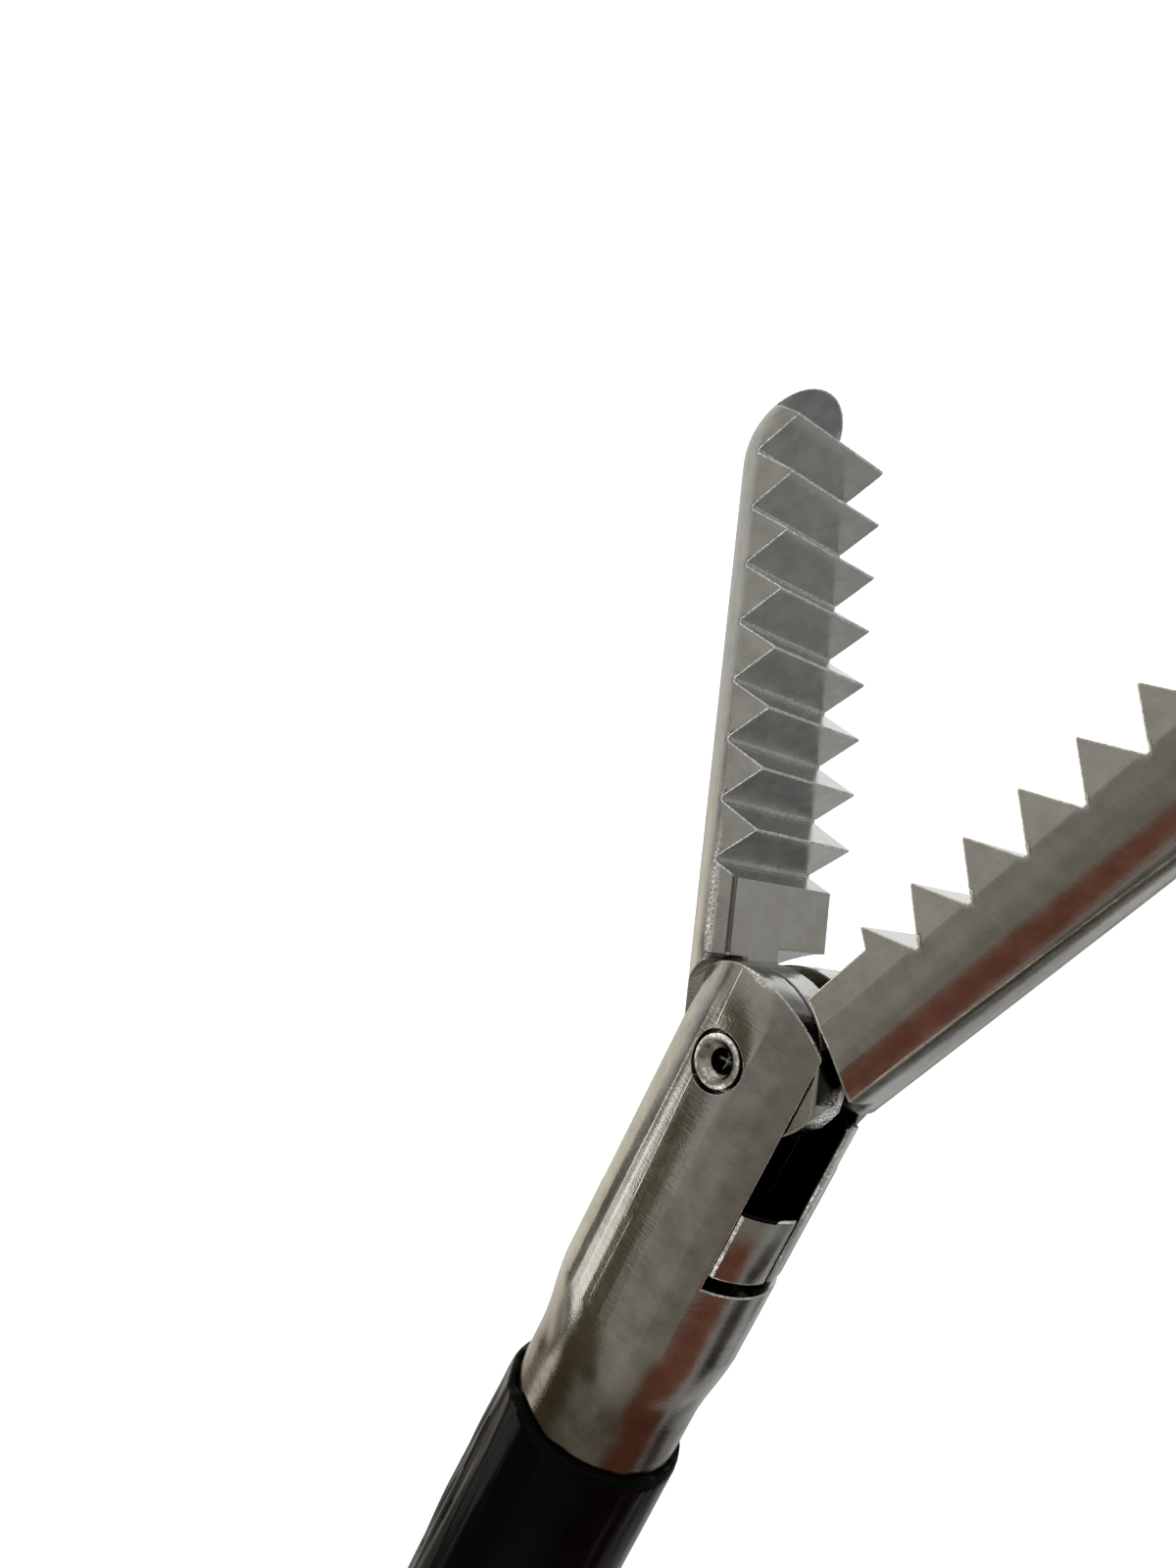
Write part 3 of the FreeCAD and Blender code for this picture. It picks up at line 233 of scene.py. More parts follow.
# Materials. Patterns are measured in millimetres on the piece itself. These are the values between
# which each cloudy pattern goes from none to full.
contrast = {
    "mottle": (0.35, 0.65), "lines": (0.3, 0.7), "rough": (0.3, 0.7), "stain": (0.3, 0.6),
    "glint": (0.38, 0.62), "patches": (0.35, 0.62), "strokes": (0.44, 0.66), "scratch": (0.35, 0.6),
    "wear": (0.35, 0.7),
}
wear = {
    # how far a broken edge turns the surface before it starts to count as worn and painted as a
    # highlight, and counts fully, as cosines
    "turned": (0.984, 0.93),
    # sizes in mm of the patterns that break up the glint, what is left of it where they are thin, and
    # what is left of it in a quiet box
    "glintSize": 0.07, "patchSize": 0.9, "strokeSize": 0.035, "scratchSize": 0.4,
    "leastGlint": 0.2, "quiet": 0.12,
    # what is left of the painted dark reflection and of the darkening where the mottle is thin
    "leastDarkReflection": 0.75, "leastDarkening": 0.5,
    # the full core of a thin line and of a soft place, as a share of its reach
    "lineCore": 0.4, "placeCore": 0.55,
}


def newMaterial(name):
    material = bpy.data.materials.new(name)
    material.use_nodes = True
    tree = material.node_tree
    shader = tree.nodes["Principled BSDF"]
    place = addNode(tree, "ShaderNodeTexCoord").outputs["Object"]
    return material, tree, shader, place


def noise(tree, place, size, stretch=(1, 1, 1), detail=3.0, roughness=0.55):
    # cloudy pattern whose repeat is this many millimetres, stretched along the axes
    scaled = vectorMath(tree, "MULTIPLY", place, [1 / (size * mm) / s for s in stretch])
    pattern = addNode(
        tree, "ShaderNodeTexNoise", {0: scaled}, Scale=1.0, Detail=detail, Roughness=roughness
    )
    return pattern.outputs["Fac"]


def worn(tree, radius):
    # how much of an edge a place is, from 0 to 1, and the surface with its edges broken to a radius
    rounded = addNode(tree, "ShaderNodeBevel", samples=6, Radius=radius * mm).outputs[0]
    flat = addNode(tree, "ShaderNodeNewGeometry").outputs["Normal"]
    facing = vectorMath(tree, "DOT_PRODUCT", rounded, flat)
    return remap(tree, facing, *wear["turned"], 0, 1), rounded


def smoothedCrease(tree, place, rounded, crease):
    # a shallow crease rounded more widely, in a band of the piece's own y and past a place along it
    wide = addNode(tree, "ShaderNodeBevel", samples=8, Radius=crease["radius"] * mm).outputs[0]
    low, lowFull, highFull, high = [v * mm for v in crease["band"]]
    along, across = axis(tree, place, "X"), axis(tree, place, "Y")
    share = times(
        tree,
        remap(tree, across, low, lowFull, 0, 1),
        remap(tree, across, highFull, high, 1, 0),
        remap(tree, along, crease["past"] * mm, (crease["past"] + crease["radius"]) * mm, 0, 1),
    )
    return addNode(tree, "ShaderNodeMix", {0: share, 4: rounded, 5: wide}, data_type="VECTOR").outputs[1]


def within(tree, place, low, high):
    # 1 inside a box given by two corners in millimetres, 0 outside
    shares = []
    for name, least, most in zip("XYZ", low, high):
        along = axis(tree, place, name)
        shares.append(calculate(tree, "GREATER_THAN", along, least * mm))
        shares.append(calculate(tree, "LESS_THAN", along, most * mm))
    return times(tree, *shares)


def near(tree, place, middle, reach):
    # 1 at a place in millimetres, falling softly to 0 over a reach along each axis
    away = vectorMath(tree, "SUBTRACT", place, [v * mm for v in middle])
    away = vectorMath(tree, "DIVIDE", away, [v * mm for v in reach])
    return remap(tree, vectorMath(tree, "LENGTH", away), 1, wear["placeCore"], 0, 1)


def ownPlace(tree, place, turns):
    # place in a jaw's own frame: x along it from the pivot, y to its back, z across
    place = vectorMath(tree, "SUBTRACT", place, list(pivot * mm))
    for kind, degrees in turns:
        rotated = addNode(tree, "ShaderNodeVectorRotate", {0: place}, rotation_type=kind)
        rotated.inputs["Angle"].default_value = math.radians(degrees)
        place = rotated.outputs[0]
    return place


def thinLine(tree, gap, width):
    # 1 where the gap is nearly nothing, 0 from a width in millimetres outwards
    core = width * wear["lineCore"]
    return remap(tree, calculate(tree, "ABSOLUTE", gap), width * mm, core * mm, 0, 1)


def scratch(tree, place, start, end, y, rise, width):
    # thin lengthwise line on the near side, from start to end in mm, at y, rising by a slope
    slanted = calculate(tree, "MULTIPLY_ADD", axis(tree, place, "X"), -rise, axis(tree, place, "Y"))
    line = thinLine(tree, calculate(tree, "SUBTRACT", slanted, (y - rise * start) * mm), width)
    clouded = noise(tree, place, wear["scratchSize"], roughness=0.7)
    uneven = remap(tree, clouded, *contrast["scratch"], wear["leastGlint"], 1)
    nearSide = within(tree, place, (start, -3, 1), (end, 3, 3))
    return times(tree, line, nearSide, uneven)


def creaseReflections(tree, look, tint, edge, glint, mottle):
    # a pale line painted along each crease of a jaw's back, a painted highlight, and a dark band painted
    # just inside it, a painted reflection
    gap = attribute(tree, "ridge")
    line = times(tree, thinLine(tree, gap, look["ridge"]["width"]), glint)
    # the crease line is painted pale: a painted highlight
    tint = blend(tree, line, tint, look["ridge"]["colour"])
    edge = calculate(tree, "MAXIMUM", edge, times(tree, line, look["ridge"]["share"]))
    if "darkReflection" in look:
        start, full, fade, end = [v * mm for v in look["darkReflection"]["reach"]]
        darkReflection = times(
            tree,
            remap(tree, gap, start, full, 0, 1),
            remap(tree, gap, fade, end, 1, 0),
            remap(tree, mottle, *contrast["stain"], wear["leastDarkReflection"], 1),
        )
        # the band inside the crease is painted dark: a painted reflection
        tint = blend(tree, darkReflection, tint, look["darkReflection"]["colour"])
    return tint, edge


def handling(tree, place, look, tint, edge, mottle):
    # stained boxes and boxes of painted shade, boxes with quiet edges, rubbed places whose strokes are
    # painted highlights, a darkening along the piece and single scratches
    for low, high, hexColour, share in look.get("shaded", []):
        part = times(tree, within(tree, place, low, high), share)
        tint = blend(tree, part, tint, hexColour)
        edge = times(tree, edge, remap(tree, part, 0, 1, 1, 0))
    for low, high in look.get("quiet", []):
        part = within(tree, place, low, high)
        edge = times(tree, edge, remap(tree, part, 0, 1, 1, wear["quiet"]))
    # rubbed strokes raise the pale, less metallic paint: a painted highlight on real rubbing
    for middle, reach, share in look.get("rubbedAndSheen", []):
        clouded = noise(tree, place, wear["strokeSize"], (1, 3, 3), 4.0, 0.75)
        strokes = remap(tree, clouded, *contrast["strokes"], 0, share)
        strokes = times(tree, strokes, near(tree, place, middle, reach))
        edge = calculate(tree, "MAXIMUM", edge, strokes)
    if "darkening" in look:
        low, high, hexColour, share = look["darkening"]
        darkening = remap(tree, axis(tree, place, "X"), low * mm, high * mm, share, 0)
        darkening = times(tree, darkening, remap(tree, mottle, *contrast["stain"], wear["leastDarkening"], 1))
        tint = blend(tree, darkening, tint, hexColour)
    for start, end, y, rise, width, hexColour, share in look.get("scratches", []):
        mark = scratch(tree, place, start, end, y, rise, width)
        tint = blend(tree, mark, tint, hexColour)
        edge = calculate(tree, "MAXIMUM", edge, times(tree, mark, share))
    return tint, edge


def steel(name, look):
    # Metal: the grain of the last machining shows as fine lines, handling leaves it mottled, and broken
    # edges are painted pale and less metallic where they are worn, which makes them a painted highlight
    material, tree, shader, place = newMaterial(name)
    if "turns" in look:
        place = ownPlace(tree, place, look["turns"])
    lines = noise(tree, place, look["lineSize"], look["lineStretch"], 4.0, 0.6)
    mottle = noise(tree, place, look["mottleSize"], detail=5.0, roughness=0.6)
    specks = noise(tree, place, look["speckSize"], detail=2.0, roughness=0.5)
    tint = blend(tree, remap(tree, mottle, *contrast["mottle"], 0, 1), look["dark"], look["light"])
    grain = remap(tree, lines, *contrast["lines"], 0, look["lineShare"])
    tint = blend(tree, grain, tint, look["lineColour"])
    edge, rounded = attribute(tree, "edge"), None
    if "edgeRadius" in look:
        edge, rounded = worn(tree, look["edgeRadius"])
    if "smoothed" in look:
        rounded = smoothedCrease(tree, place, rounded, look["smoothed"])
    glint = noise(tree, place, wear["glintSize"], roughness=0.7)
    glint = remap(tree, glint, *contrast["glint"], wear["leastGlint"], 1)
    patches = noise(tree, place, wear["patchSize"], detail=2.0, roughness=0.5)
    glint = times(tree, glint, remap(tree, patches, *contrast["patches"], look["edgeShare"], 1))
    edge = times(tree, edge, glint)
    if "ridge" in look:
        tint, edge = creaseReflections(tree, look, tint, edge, glint, mottle)
    tint, edge = handling(tree, place, look, tint, edge, mottle)
    # the rivet's eye painted near black: painted shade in its recess
    if "eyeShade" in look:
        tint = blend(tree, attribute(tree, "dark"), tint, look["eyeShade"])
    # painted highlight: worn edges, rubbed strokes and scratches turn pale and less metallic here
    tint = blend(tree, edge, tint, look["edgeColour"])
    tree.links.new(remap(tree, edge, 0, 1, 1.0, look["edgeMetal"]), shader.inputs["Metallic"])
    tree.links.new(tint, shader.inputs["Base Color"])
    rough = remap(tree, mottle, *contrast["rough"], *look["roughness"])
    tree.links.new(rough, shader.inputs["Roughness"])
    bump = addNode(tree, "ShaderNodeBump", {"Height": calculate(tree, "ADD", lines, specks)})
    if rounded:
        tree.links.new(rounded, bump.inputs["Normal"])
    bump.inputs["Strength"].default_value = look["bump"]
    bump.inputs["Distance"].default_value = look["bumpDepth"] * mm
    tree.links.new(bump.outputs[0], shader.inputs["Normal"])
    return material


def plastic(name, look):
    # Moulded plastic: one colour with a fine spark-eroded grain, rubbed smoother in patches
    material, tree, shader, place = newMaterial(name)
    grain = noise(tree, place, look["grainSize"], look.get("grainStretch", (1, 1, 1)), 2.0, 0.5)
    rubbedAndSheen = noise(tree, place, look["wearSize"], detail=4.0, roughness=0.6)
    tint = blend(tree, remap(tree, rubbedAndSheen, *contrast["wear"], 0, 1), look["colour"], look["worn"])
    tree.links.new(tint, shader.inputs["Base Color"])
    smooth, rough = look["roughness"]
    rough = remap(tree, rubbedAndSheen, *contrast["rough"], rough, smooth)
    tree.links.new(rough, shader.inputs["Roughness"])
    shader.inputs["IOR"].default_value = look["ior"]
    bump = addNode(tree, "ShaderNodeBump", {"Height": grain})
    bump.inputs["Strength"].default_value = look["bump"]
    bump.inputs["Distance"].default_value = look["bumpDepth"] * mm
    tree.links.new(bump.outputs[0], shader.inputs["Normal"])
    return material


# ground steel: pale, with the lines of the wheel
groundLook = {
    # edges painted near white and not metallic: a painted highlight on their wear
    "edgeColour": "#f6f6f4", "edgeMetal": 0.0, "edgeShare": 0.85,
    "lineSize": 0.06, "lineStretch": (1, 8, 8), "lineShare": 0.3, "lineColour": "#d2d1cd",
    "mottleSize": 0.6, "speckSize": 0.04, "dark": "#b9b8b4", "light": "#d0cfcb",
    "roughness": (0.12, 0.22), "bump": 0.2, "bumpDepth": 0.01,
}
# Jaws: ground by hand across, mottled by handling; edges and the back's creases are painted bright,
# a painted highlight. Places are in the jaw's own millimetres: shaded boxes with colour and share, boxes
# with quiet edges, and rubbed places with their reach and share, whose strokes are painted highlights.
jawLook = {
    **groundLook,
    "edgeRadius": 0.065,
    "ridge": {"width": 0.04, "colour": "#f6ecd6", "share": 0.2},
    "smoothed": {"radius": 0.22, "past": 2.85, "band": (0.67, 0.74, 1.1, 1.25)},
    "quiet": [((-3, -3, -2.2), (2.4, 3, 2.2))],
    # rubbed strokes painted bright, painted highlights, by the near wall's crease, on the back, on the
    # tang's rim
    "rubbedAndSheen": [((3.4, 0.86, 2.1), (2.6, 0.2, 0.4), 0.45),
               ((7, 2.3, 0), (9, 0.5, 0.75), 0.3),
               ((-0.9, -2.15, 0.7), (0.9, 0.5, 0.8), 0.95)],
    # a stain on the land, painted shadow in the gaps at the tang's front and the heel, a darker line by
    # the wall
    "shaded": [((1.5, 0.12, -2.05), (4.45, 0.26, 2.05), "#a39a7e", 0.4),
               ((-0.62, -2.6, 0.8), (0.6, -2.1, 1.46), "#24211c", 0.95),
               ((2.3, 0.2, 1.3), (2.46, 1, 2.2), "#2f2c26", 0.8),
               ((2.5, 0.17, 2.04), (4.35, 0.32, 2.2), "#34312a", 0.75)],
}
leftJawSteel = steel("groundStainlessSteel", {**jawLook, "turns": [("Z_AXIS", -24.9)]})
# the right jaw's edges and creases are painted tan, a painted warm reflection, and a dark band just
# inside its back's creases is a painted reflection
rightJawSteel = steel("groundStainlessSteelRight", {
    **jawLook, "turns": [("X_AXIS", 180), ("Z_AXIS", -21.6)], "edgeColour": "#e3d0a6",
    "ridge": {"width": 0.045, "colour": "#e2cd9e", "share": 0.25},
    "darkReflection": {"reach": (-0.02, -0.12, -0.3, -0.55), "colour": "#5d5951"},
})
# milled along its length; its inner parts are painted black, painted shade, and the side of its
# tongue has rubbed strokes painted bright, a painted highlight
blockSteel = steel("milledStainlessSteel", {
    **groundLook,
    "lineStretch": (6, 1, 6), "edgeMetal": 0.15, "edgeShare": 0.1,
    # the tongue and the inner parts painted near black: painted shade
    "shaded": [((309.1, -2.37, -2), (314, 2.37, 2), "#1d1b17", 1.0)],
    # rubbed strokes painted bright on the tongue's side: a painted highlight
    "rubbedAndSheen": [((310.6, -2.46, -0.42), (2.6, 0.3, 0.24), 0.9)],
})
# turned in a lathe, then brushed round the axis; the slot's inside is painted dark, painted shade
clevisSteel = steel("turnedStainlessSteel", {
    "edgeColour": "#e2dfd8", "edgeMetal": 0.35, "edgeShare": 0.12,
    "lineSize": 0.07, "lineStretch": (1, 9, 9), "lineShare": 0.4, "lineColour": "#cfcecb",
    "mottleSize": 0.7, "speckSize": 0.05, "dark": "#aaa9a4", "light": "#cfcdc8",
    "roughness": (0.1, 0.19), "bump": 0.34, "bumpDepth": 0.01,
    # the slot's inside painted dark: painted shade
    "shaded": [((306.9, -1.7, -1.6), (313.9, 1.75, 1.6), "#2b2924", 1.0),
               # a darker bluish grey along the far arm's inner edge
               ((306.9, -2.2, -2.4), (314.2, -1.6, -1.57), "#8b8f95", 0.6)],
    # rubbed strokes painted bright, painted highlights, along the far arm's inner edge and at the arm's
    # tip
    "rubbedAndSheen": [((310.6, -1.9, -1.66), (4.4, 0.14, 0.16), 1.0),
               ((314.27, -0.15, 2.42), (0.16, 0.55, 0.2), 0.6)],
    # darker and browner behind the arms, from and to these places
    "darkening": (302.7, 304.8, "#766b5c", 0.9),
    # start, end, y, slope, width, colour and share of glint
    "scratches": [(307.4, 314.2, 0.27, 0.03, 0.014, "#f4efe4", 0.8),
                  (307.5, 314.0, 0.245, 0.03, 0.012, "#4a463c", 0.0),
                  (305.2, 307.6, 0.12, -0.02, 0.01, "#e9e4d8", 0.5)],
})
# drawn and centreless ground tube
tubeSteel = steel("drawnStainlessSteel", {
    "edgeRadius": 0.03, "edgeColour": "#d8d6d0", "edgeMetal": 0.7, "edgeShare": 0.3,
    "lineSize": 0.05, "lineStretch": (1, 10, 10), "lineShare": 0.2, "lineColour": "#c6c4bd",
    "mottleSize": 1.5, "speckSize": 0.05, "dark": "#b4b2ab", "light": "#c8c6c0",
    "roughness": (0.13, 0.2), "bump": 0.12, "bumpDepth": 0.01,
})
# polished pins, screws and rod
brightSteel = steel("polishedStainlessSteel", {
    "edgeRadius": 0.03, "edgeColour": "#e6e4de", "edgeMetal": 0.7, "edgeShare": 0.3,
    "lineSize": 0.05, "lineStretch": (4, 4, 1), "lineShare": 0.15, "lineColour": "#d8d6d0",
    "mottleSize": 0.5, "speckSize": 0.04, "dark": "#c2bfb8", "light": "#d6d4ce",
    "roughness": (0.1, 0.18), "bump": 0.1, "bumpDepth": 0.006,
})
# plated and polished post for the lead
postSteel = steel("polishedPostSteel", {
    "edgeRadius": 0.1, "edgeColour": "#e4e1da", "edgeMetal": 0.8, "edgeShare": 0.3,
    "lineSize": 0.08, "lineStretch": (1, 10, 10), "lineShare": 0.15, "lineColour": "#dddad2",
    "mottleSize": 2.0, "speckSize": 0.1, "dark": "#c9c6be", "light": "#dcd9d2",
    "roughness": (0.12, 0.2), "bump": 0.1, "bumpDepth": 0.01,
})
# turned aluminium: feed marks round the axis
hubAluminium = steel("turnedAluminium", {
    "edgeRadius": 0.1, "edgeColour": "#ececee", "edgeMetal": 0.8, "edgeShare": 0.3,
    "lineSize": 0.12, "lineStretch": (1, 12, 12), "lineShare": 0.3, "lineColour": "#e3e4e6",
    "mottleSize": 3.0, "speckSize": 0.1, "dark": "#cdced1", "light": "#dfe0e2",
    "roughness": (0.25, 0.36), "bump": 0.3, "bumpDepth": 0.02,
})
# rivet: hammered over, uneven; its eye is painted near black, painted shade, and its rim and a
# stroke on its dish are painted bright, painted highlights
rivetSteel = steel("peenedStainlessSteel", {
    "edgeColour": "#f4f1ea", "edgeMetal": 0.1, "edgeShare": 0.1,
    "lineSize": 0.05, "lineStretch": (1, 1, 1), "lineShare": 0.2, "lineColour": "#d8d6d0",
    "mottleSize": 0.25, "speckSize": 0.04, "dark": "#a5a29b", "light": "#d0cdc6",
    "roughness": (0.12, 0.25), "bump": 0.3, "bumpDepth": 0.006, "eyeShade": "#0c0b0a",
    "rubbedAndSheen": [((311.6, 0.06, 2.3), (0.16, 0.3, 0.25), 0.9)],
})
# shrunk-on polyolefin tube: black, glossy, a little wrinkled
sleeveBlack = plastic("shrunkPolyolefin", {
    "grainSize": 0.3, "grainStretch": (9, 1, 1), "wearSize": 2.5, "colour": "#010101",
    "worn": "#030303", "roughness": (0.1, 0.2), "ior": 1.16, "bump": 0.5, "bumpDepth": 0.03,
})
# glass-filled nylon: near black, finely grained, semi-matt
handleNylon = plastic("mouldedNylon", {
    "grainSize": 0.22, "wearSize": 9.0, "colour": "#1c1d1f", "worn": "#27282a",
    "roughness": (0.42, 0.58), "ior": 1.53, "bump": 0.35, "bumpDepth": 0.03,
})
# the knob's nylon is a little paler and finer
knobNylon = plastic("mouldedKnobNylon", {
    "grainSize": 0.2, "wearSize": 6.0, "colour": "#212225", "worn": "#2d2e31",
    "roughness": (0.4, 0.55), "ior": 1.53, "bump": 0.35, "bumpDepth": 0.03,
})
# machined PTFE: white, waxy
whitePtfe = plastic("machinedPtfe", {
    "grainSize": 0.15, "wearSize": 2.0, "colour": "#e6e5e0", "worn": "#f0efea",
    "roughness": (0.35, 0.5), "ior": 1.35, "bump": 0.2, "bumpDepth": 0.01,
})
# silicone rubber: dark, matt
sealRubber = plastic("mouldedSilicone", {
    "grainSize": 0.3, "wearSize": 3.0, "colour": "#26272a", "worn": "#323337",
    "roughness": (0.6, 0.75), "ior": 1.41, "bump": 0.2, "bumpDepth": 0.02,
})
finishes = {
    tubeSteel: ["outer_tube", "flush_port", "lever_fork"],
    brightSteel: ["drive_pin_left", "drive_pin_right", "push_rod", "rod_ball",
                  "housing_screws", "lever_screw", "lever_nut"],
    postSteel: ["connector_post"],
    hubAluminium: ["knob_hub"],
    handleNylon: ["handle_upper_half", "handle_lower_half", "thumb_lever"],
    knobNylon: ["rotation_knob"],
    whitePtfe: ["front_rod_bush", "rear_rod_bush", "lever_bush"],
    sealRubber: ["friction_ring", "rod_seal", "port_cap"],
}
for material, names in finishes.items():
    for name in names:
        slots = nodes[name].data.materials
        slots.clear()
        slots.append(material)
print("materials given")


# Pieces made finer than the CAD
def newPiece(name, form, material, body, replaced, crease=35.0):
    # object from a bmesh form, riding on a body and standing for a CAD node
    mesh = bpy.data.meshes.new(name)
    form.to_mesh(mesh)
    form.free()
    mesh.polygons.foreach_set("use_smooth", [True] * len(mesh.polygons))
    mesh.set_sharp_from_angle(angle=math.radians(crease))
    piece = bpy.data.objects.new(name, mesh)
    bpy.context.scene.collection.objects.link(piece)
    mesh.materials.append(material)
    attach(piece, body)
    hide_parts(replaced)
    return piece


def steadyNormals(piece):
    # large faces keep their own direction beside the small rounded ones
    normals = piece.modifiers.new("steadyNormals", "WEIGHTED_NORMAL")
    normals.keep_sharp = True
    normals.weight = 80


def ringForm(form, rows, closed=True):
    # quads between rings of points; the last ring joins the first when closed
    made = [[form.verts.new(point) for point in row] for row in rows]
    count = len(made)
    for i in range(count if closed else count - 1):
        a, b = made[i], made[(i + 1) % count]
        for j in range(len(a)):
            k = (j + 1) % len(a)
            form.faces.new((a[j], a[k], b[k], b[j]))
    return made


def onRound(x, r, degrees):
    # point round the shaft's axis, from millimetres; 0 degrees is up and 90 is towards -Y
    angle = math.radians(degrees)
    return (x * mm, -r * math.sin(angle) * mm, r * math.cos(angle) * mm)


def angleApart(degrees, other):
    return (degrees - other + 180) % 360 - 180


# merging and cutting distances in mm, and the angles below which a node's facets count as flat and
# above which an edge counts as sharp
softening = {"merge": 0.0005, "cut": 0.0001, "flat": 0.4, "sharp": 24}


def softened(node, groups, own=Matrix.Identity(4)):
    # copy of a node's form with its sharp edges really rounded; each group is a radius, the steps and
    # the places it holds for, in mm, in the piece's own frame when it has one
    form = bmesh.new()
    form.from_mesh(nodes[node].data)
    bmesh.ops.transform(form, matrix=own, verts=form.verts)
    bmesh.ops.remove_doubles(form, verts=form.verts, dist=softening["merge"] * mm)
    bmesh.ops.dissolve_limit(
        form, angle_limit=math.radians(softening["flat"]), verts=form.verts, edges=form.edges
    )
    edgeLayer = form.loops.layers.float.new("edge")
    for radius, steps, chosen in groups:
        sharp = []
        for edge in form.edges:
            if len(edge.link_faces) == 2 and edge.calc_face_angle(0) > math.radians(softening["sharp"]):
                if chosen(*((edge.verts[0].co + edge.verts[1].co) / 2 / mm)):
                    sharp.append(edge)
        made = bmesh.ops.bevel(
            form, geom=sharp, offset=radius * mm, offset_type="OFFSET", segments=steps, profile=0.5,
            affect="EDGES", clamp_overlap=True,
        )
        for face in made["faces"]:
            for loop in face.loops:
                loop[edgeLayer] = 1.0
    return form


# Jaws: the back's narrow flat is a low crown, blended into the round on each side; the heel is rounded
jawSizes = {
    "round": 2.2, "roundCentre": 0.18, "flatAtPivot": 2.14, "flatAtNose": 2.35, "nose": 15.2,
    "backFrom": 0.3, "backPast": 0.02, "surface": 0.012,
    "rise": 0.096, "power": 4, "fadeOver": 1.6,
    "lengthCuts": (1.5, 3, 4.5, 6, 7.5, 9, 10.5, 12, 13.5, 14.6),
    "crossCuts": (0.12, 0.24, 0.34, 0.42, 0.5, 0.57, 0.64, 0.7, 0.76, 0.82, 0.88, 0.94),
    # radius and steps, and where the heel lies from the pivot
    "heelEdge": (0.12, 3), "heelBefore": 1.3, "heelBelow": -0.3, "heelOutside": 1.9,
    "crease": 12,
}


def jawForm(node, sizes, flip, degrees):
    own = Matrix.Rotation(math.radians(-degrees), 4, "Z") @ Matrix.Rotation(math.radians(flip), 4, "X")
    own = own @ Matrix.Translation(-Vector(pivot) * mm)

    def atHeel(x, y, z):
        outside = math.hypot(x, y) > sizes["heelOutside"]
        return x < sizes["heelBefore"] and y < sizes["heelBelow"] and outside

    def flatAt(x):
        return sizes["flatAtPivot"] + (sizes["flatAtNose"] - sizes["flatAtPivot"]) * x / sizes["nose"]

    def roundAt(z):
        return sizes["roundCentre"] + math.sqrt(max(sizes["round"] ** 2 - z * z, 0))

    def onBack(v):
        x, y, z = v.co / mm
        along = sizes["backFrom"] < x < sizes["nose"] + sizes["backPast"]
        return along and abs(y - min(flatAt(x), roundAt(z))) < sizes["surface"]

    def backFaces():
        return [f for f in form.faces if all(onBack(v) for v in f.verts)]

    form = softened(node, [(*sizes["heelEdge"], atHeel)], own)
    planes = [((x * mm, 0, 0), (1, 0, 0)) for x in sizes["lengthCuts"]]
    planes += [((0, 0, side * z * mm), (0, 0, 1)) for z in sizes["crossCuts"] for side in (-1, 1)]
    for place, across in planes:
        geometry = list({part for f in backFaces() for part in [f, *f.edges, *f.verts]})
        bmesh.ops.bisect_plane(
            form, geom=geometry, plane_co=place, plane_no=across, dist=softening["cut"] * mm
        )
    bmesh.ops.triangulate(form, faces=backFaces())
    # the distance from the back's crease is kept for the material
    ridgeLayer = form.verts.layers.float.new("ridge")
    for v in form.verts:
        v[ridgeLayer] = 1.0
        if onBack(v):
            x, y, z = v.co / mm
            crease = math.sqrt(sizes["round"] ** 2 - (flatAt(x) - sizes["roundCentre"]) ** 2)
            if abs(z) < crease:
                share = min(max((sizes["nose"] - x) / sizes["fadeOver"], 0), 1)
                crown = 1 - (abs(z) / crease) ** sizes["power"]
                v.co.y += sizes["rise"] * crease * share * crown * mm
            v[ridgeLayer] = (abs(z) - crease) * mm
    bmesh.ops.transform(form, matrix=own.inverted(), verts=form.verts)
    return form


for node, material, body, flip, degrees in (("jaw_left", leftJawSteel, "left_jaw", 0, 24.9),
                                            ("jaw_right", rightJawSteel, "right_jaw", 180, 21.6)):
    form = jawForm(node, jawSizes, flip, degrees)
    newPiece(node + "_ground", form, material, body, node, jawSizes["crease"])
print("jaws made")

# Clevis: arms with broken edges, and the neck behind them, swaged down over the tube and dented
clevisSizes = {
    # radius and steps of the broken edges, and where they lie
    "armEdge": (0.13, 3), "armsFrom": 305.4, "rivetClear": 0.9, "skin": 2.3,
    "sinkEdge": (0.03, 2), "sink": (0.7, 0.8),
    "neckBack": 301.15, "cut": 304.9, "seat": 303.7, "around": 144, "step": 0.06,
    "neckRadius": 2.268, "radius": 2.49, "shoulderFrom": 302.7, "shoulderTo": 304.9,
    "tubeRadius": 2.203, "leastWall": 0.004, "bore": 0.6,
    # place, angle in degrees, half sizes in mm and degrees, depth
    "dents": [(303.45, 12, 0.42, 10, 0.05), (303.9, -17, 0.45, 6, 0.025), (303.2, -27, 0.5, 7, 0.03),
              (303.3, 62, 0.35, 9, 0.03), (302.6, 45, 0.6, 14, 0.02), (303.6, 84, 0.3, 7, 0.03),
              (303.4, 150, 0.5, 13, 0.04), (303.1, 230, 0.45, 12, 0.04)],
}


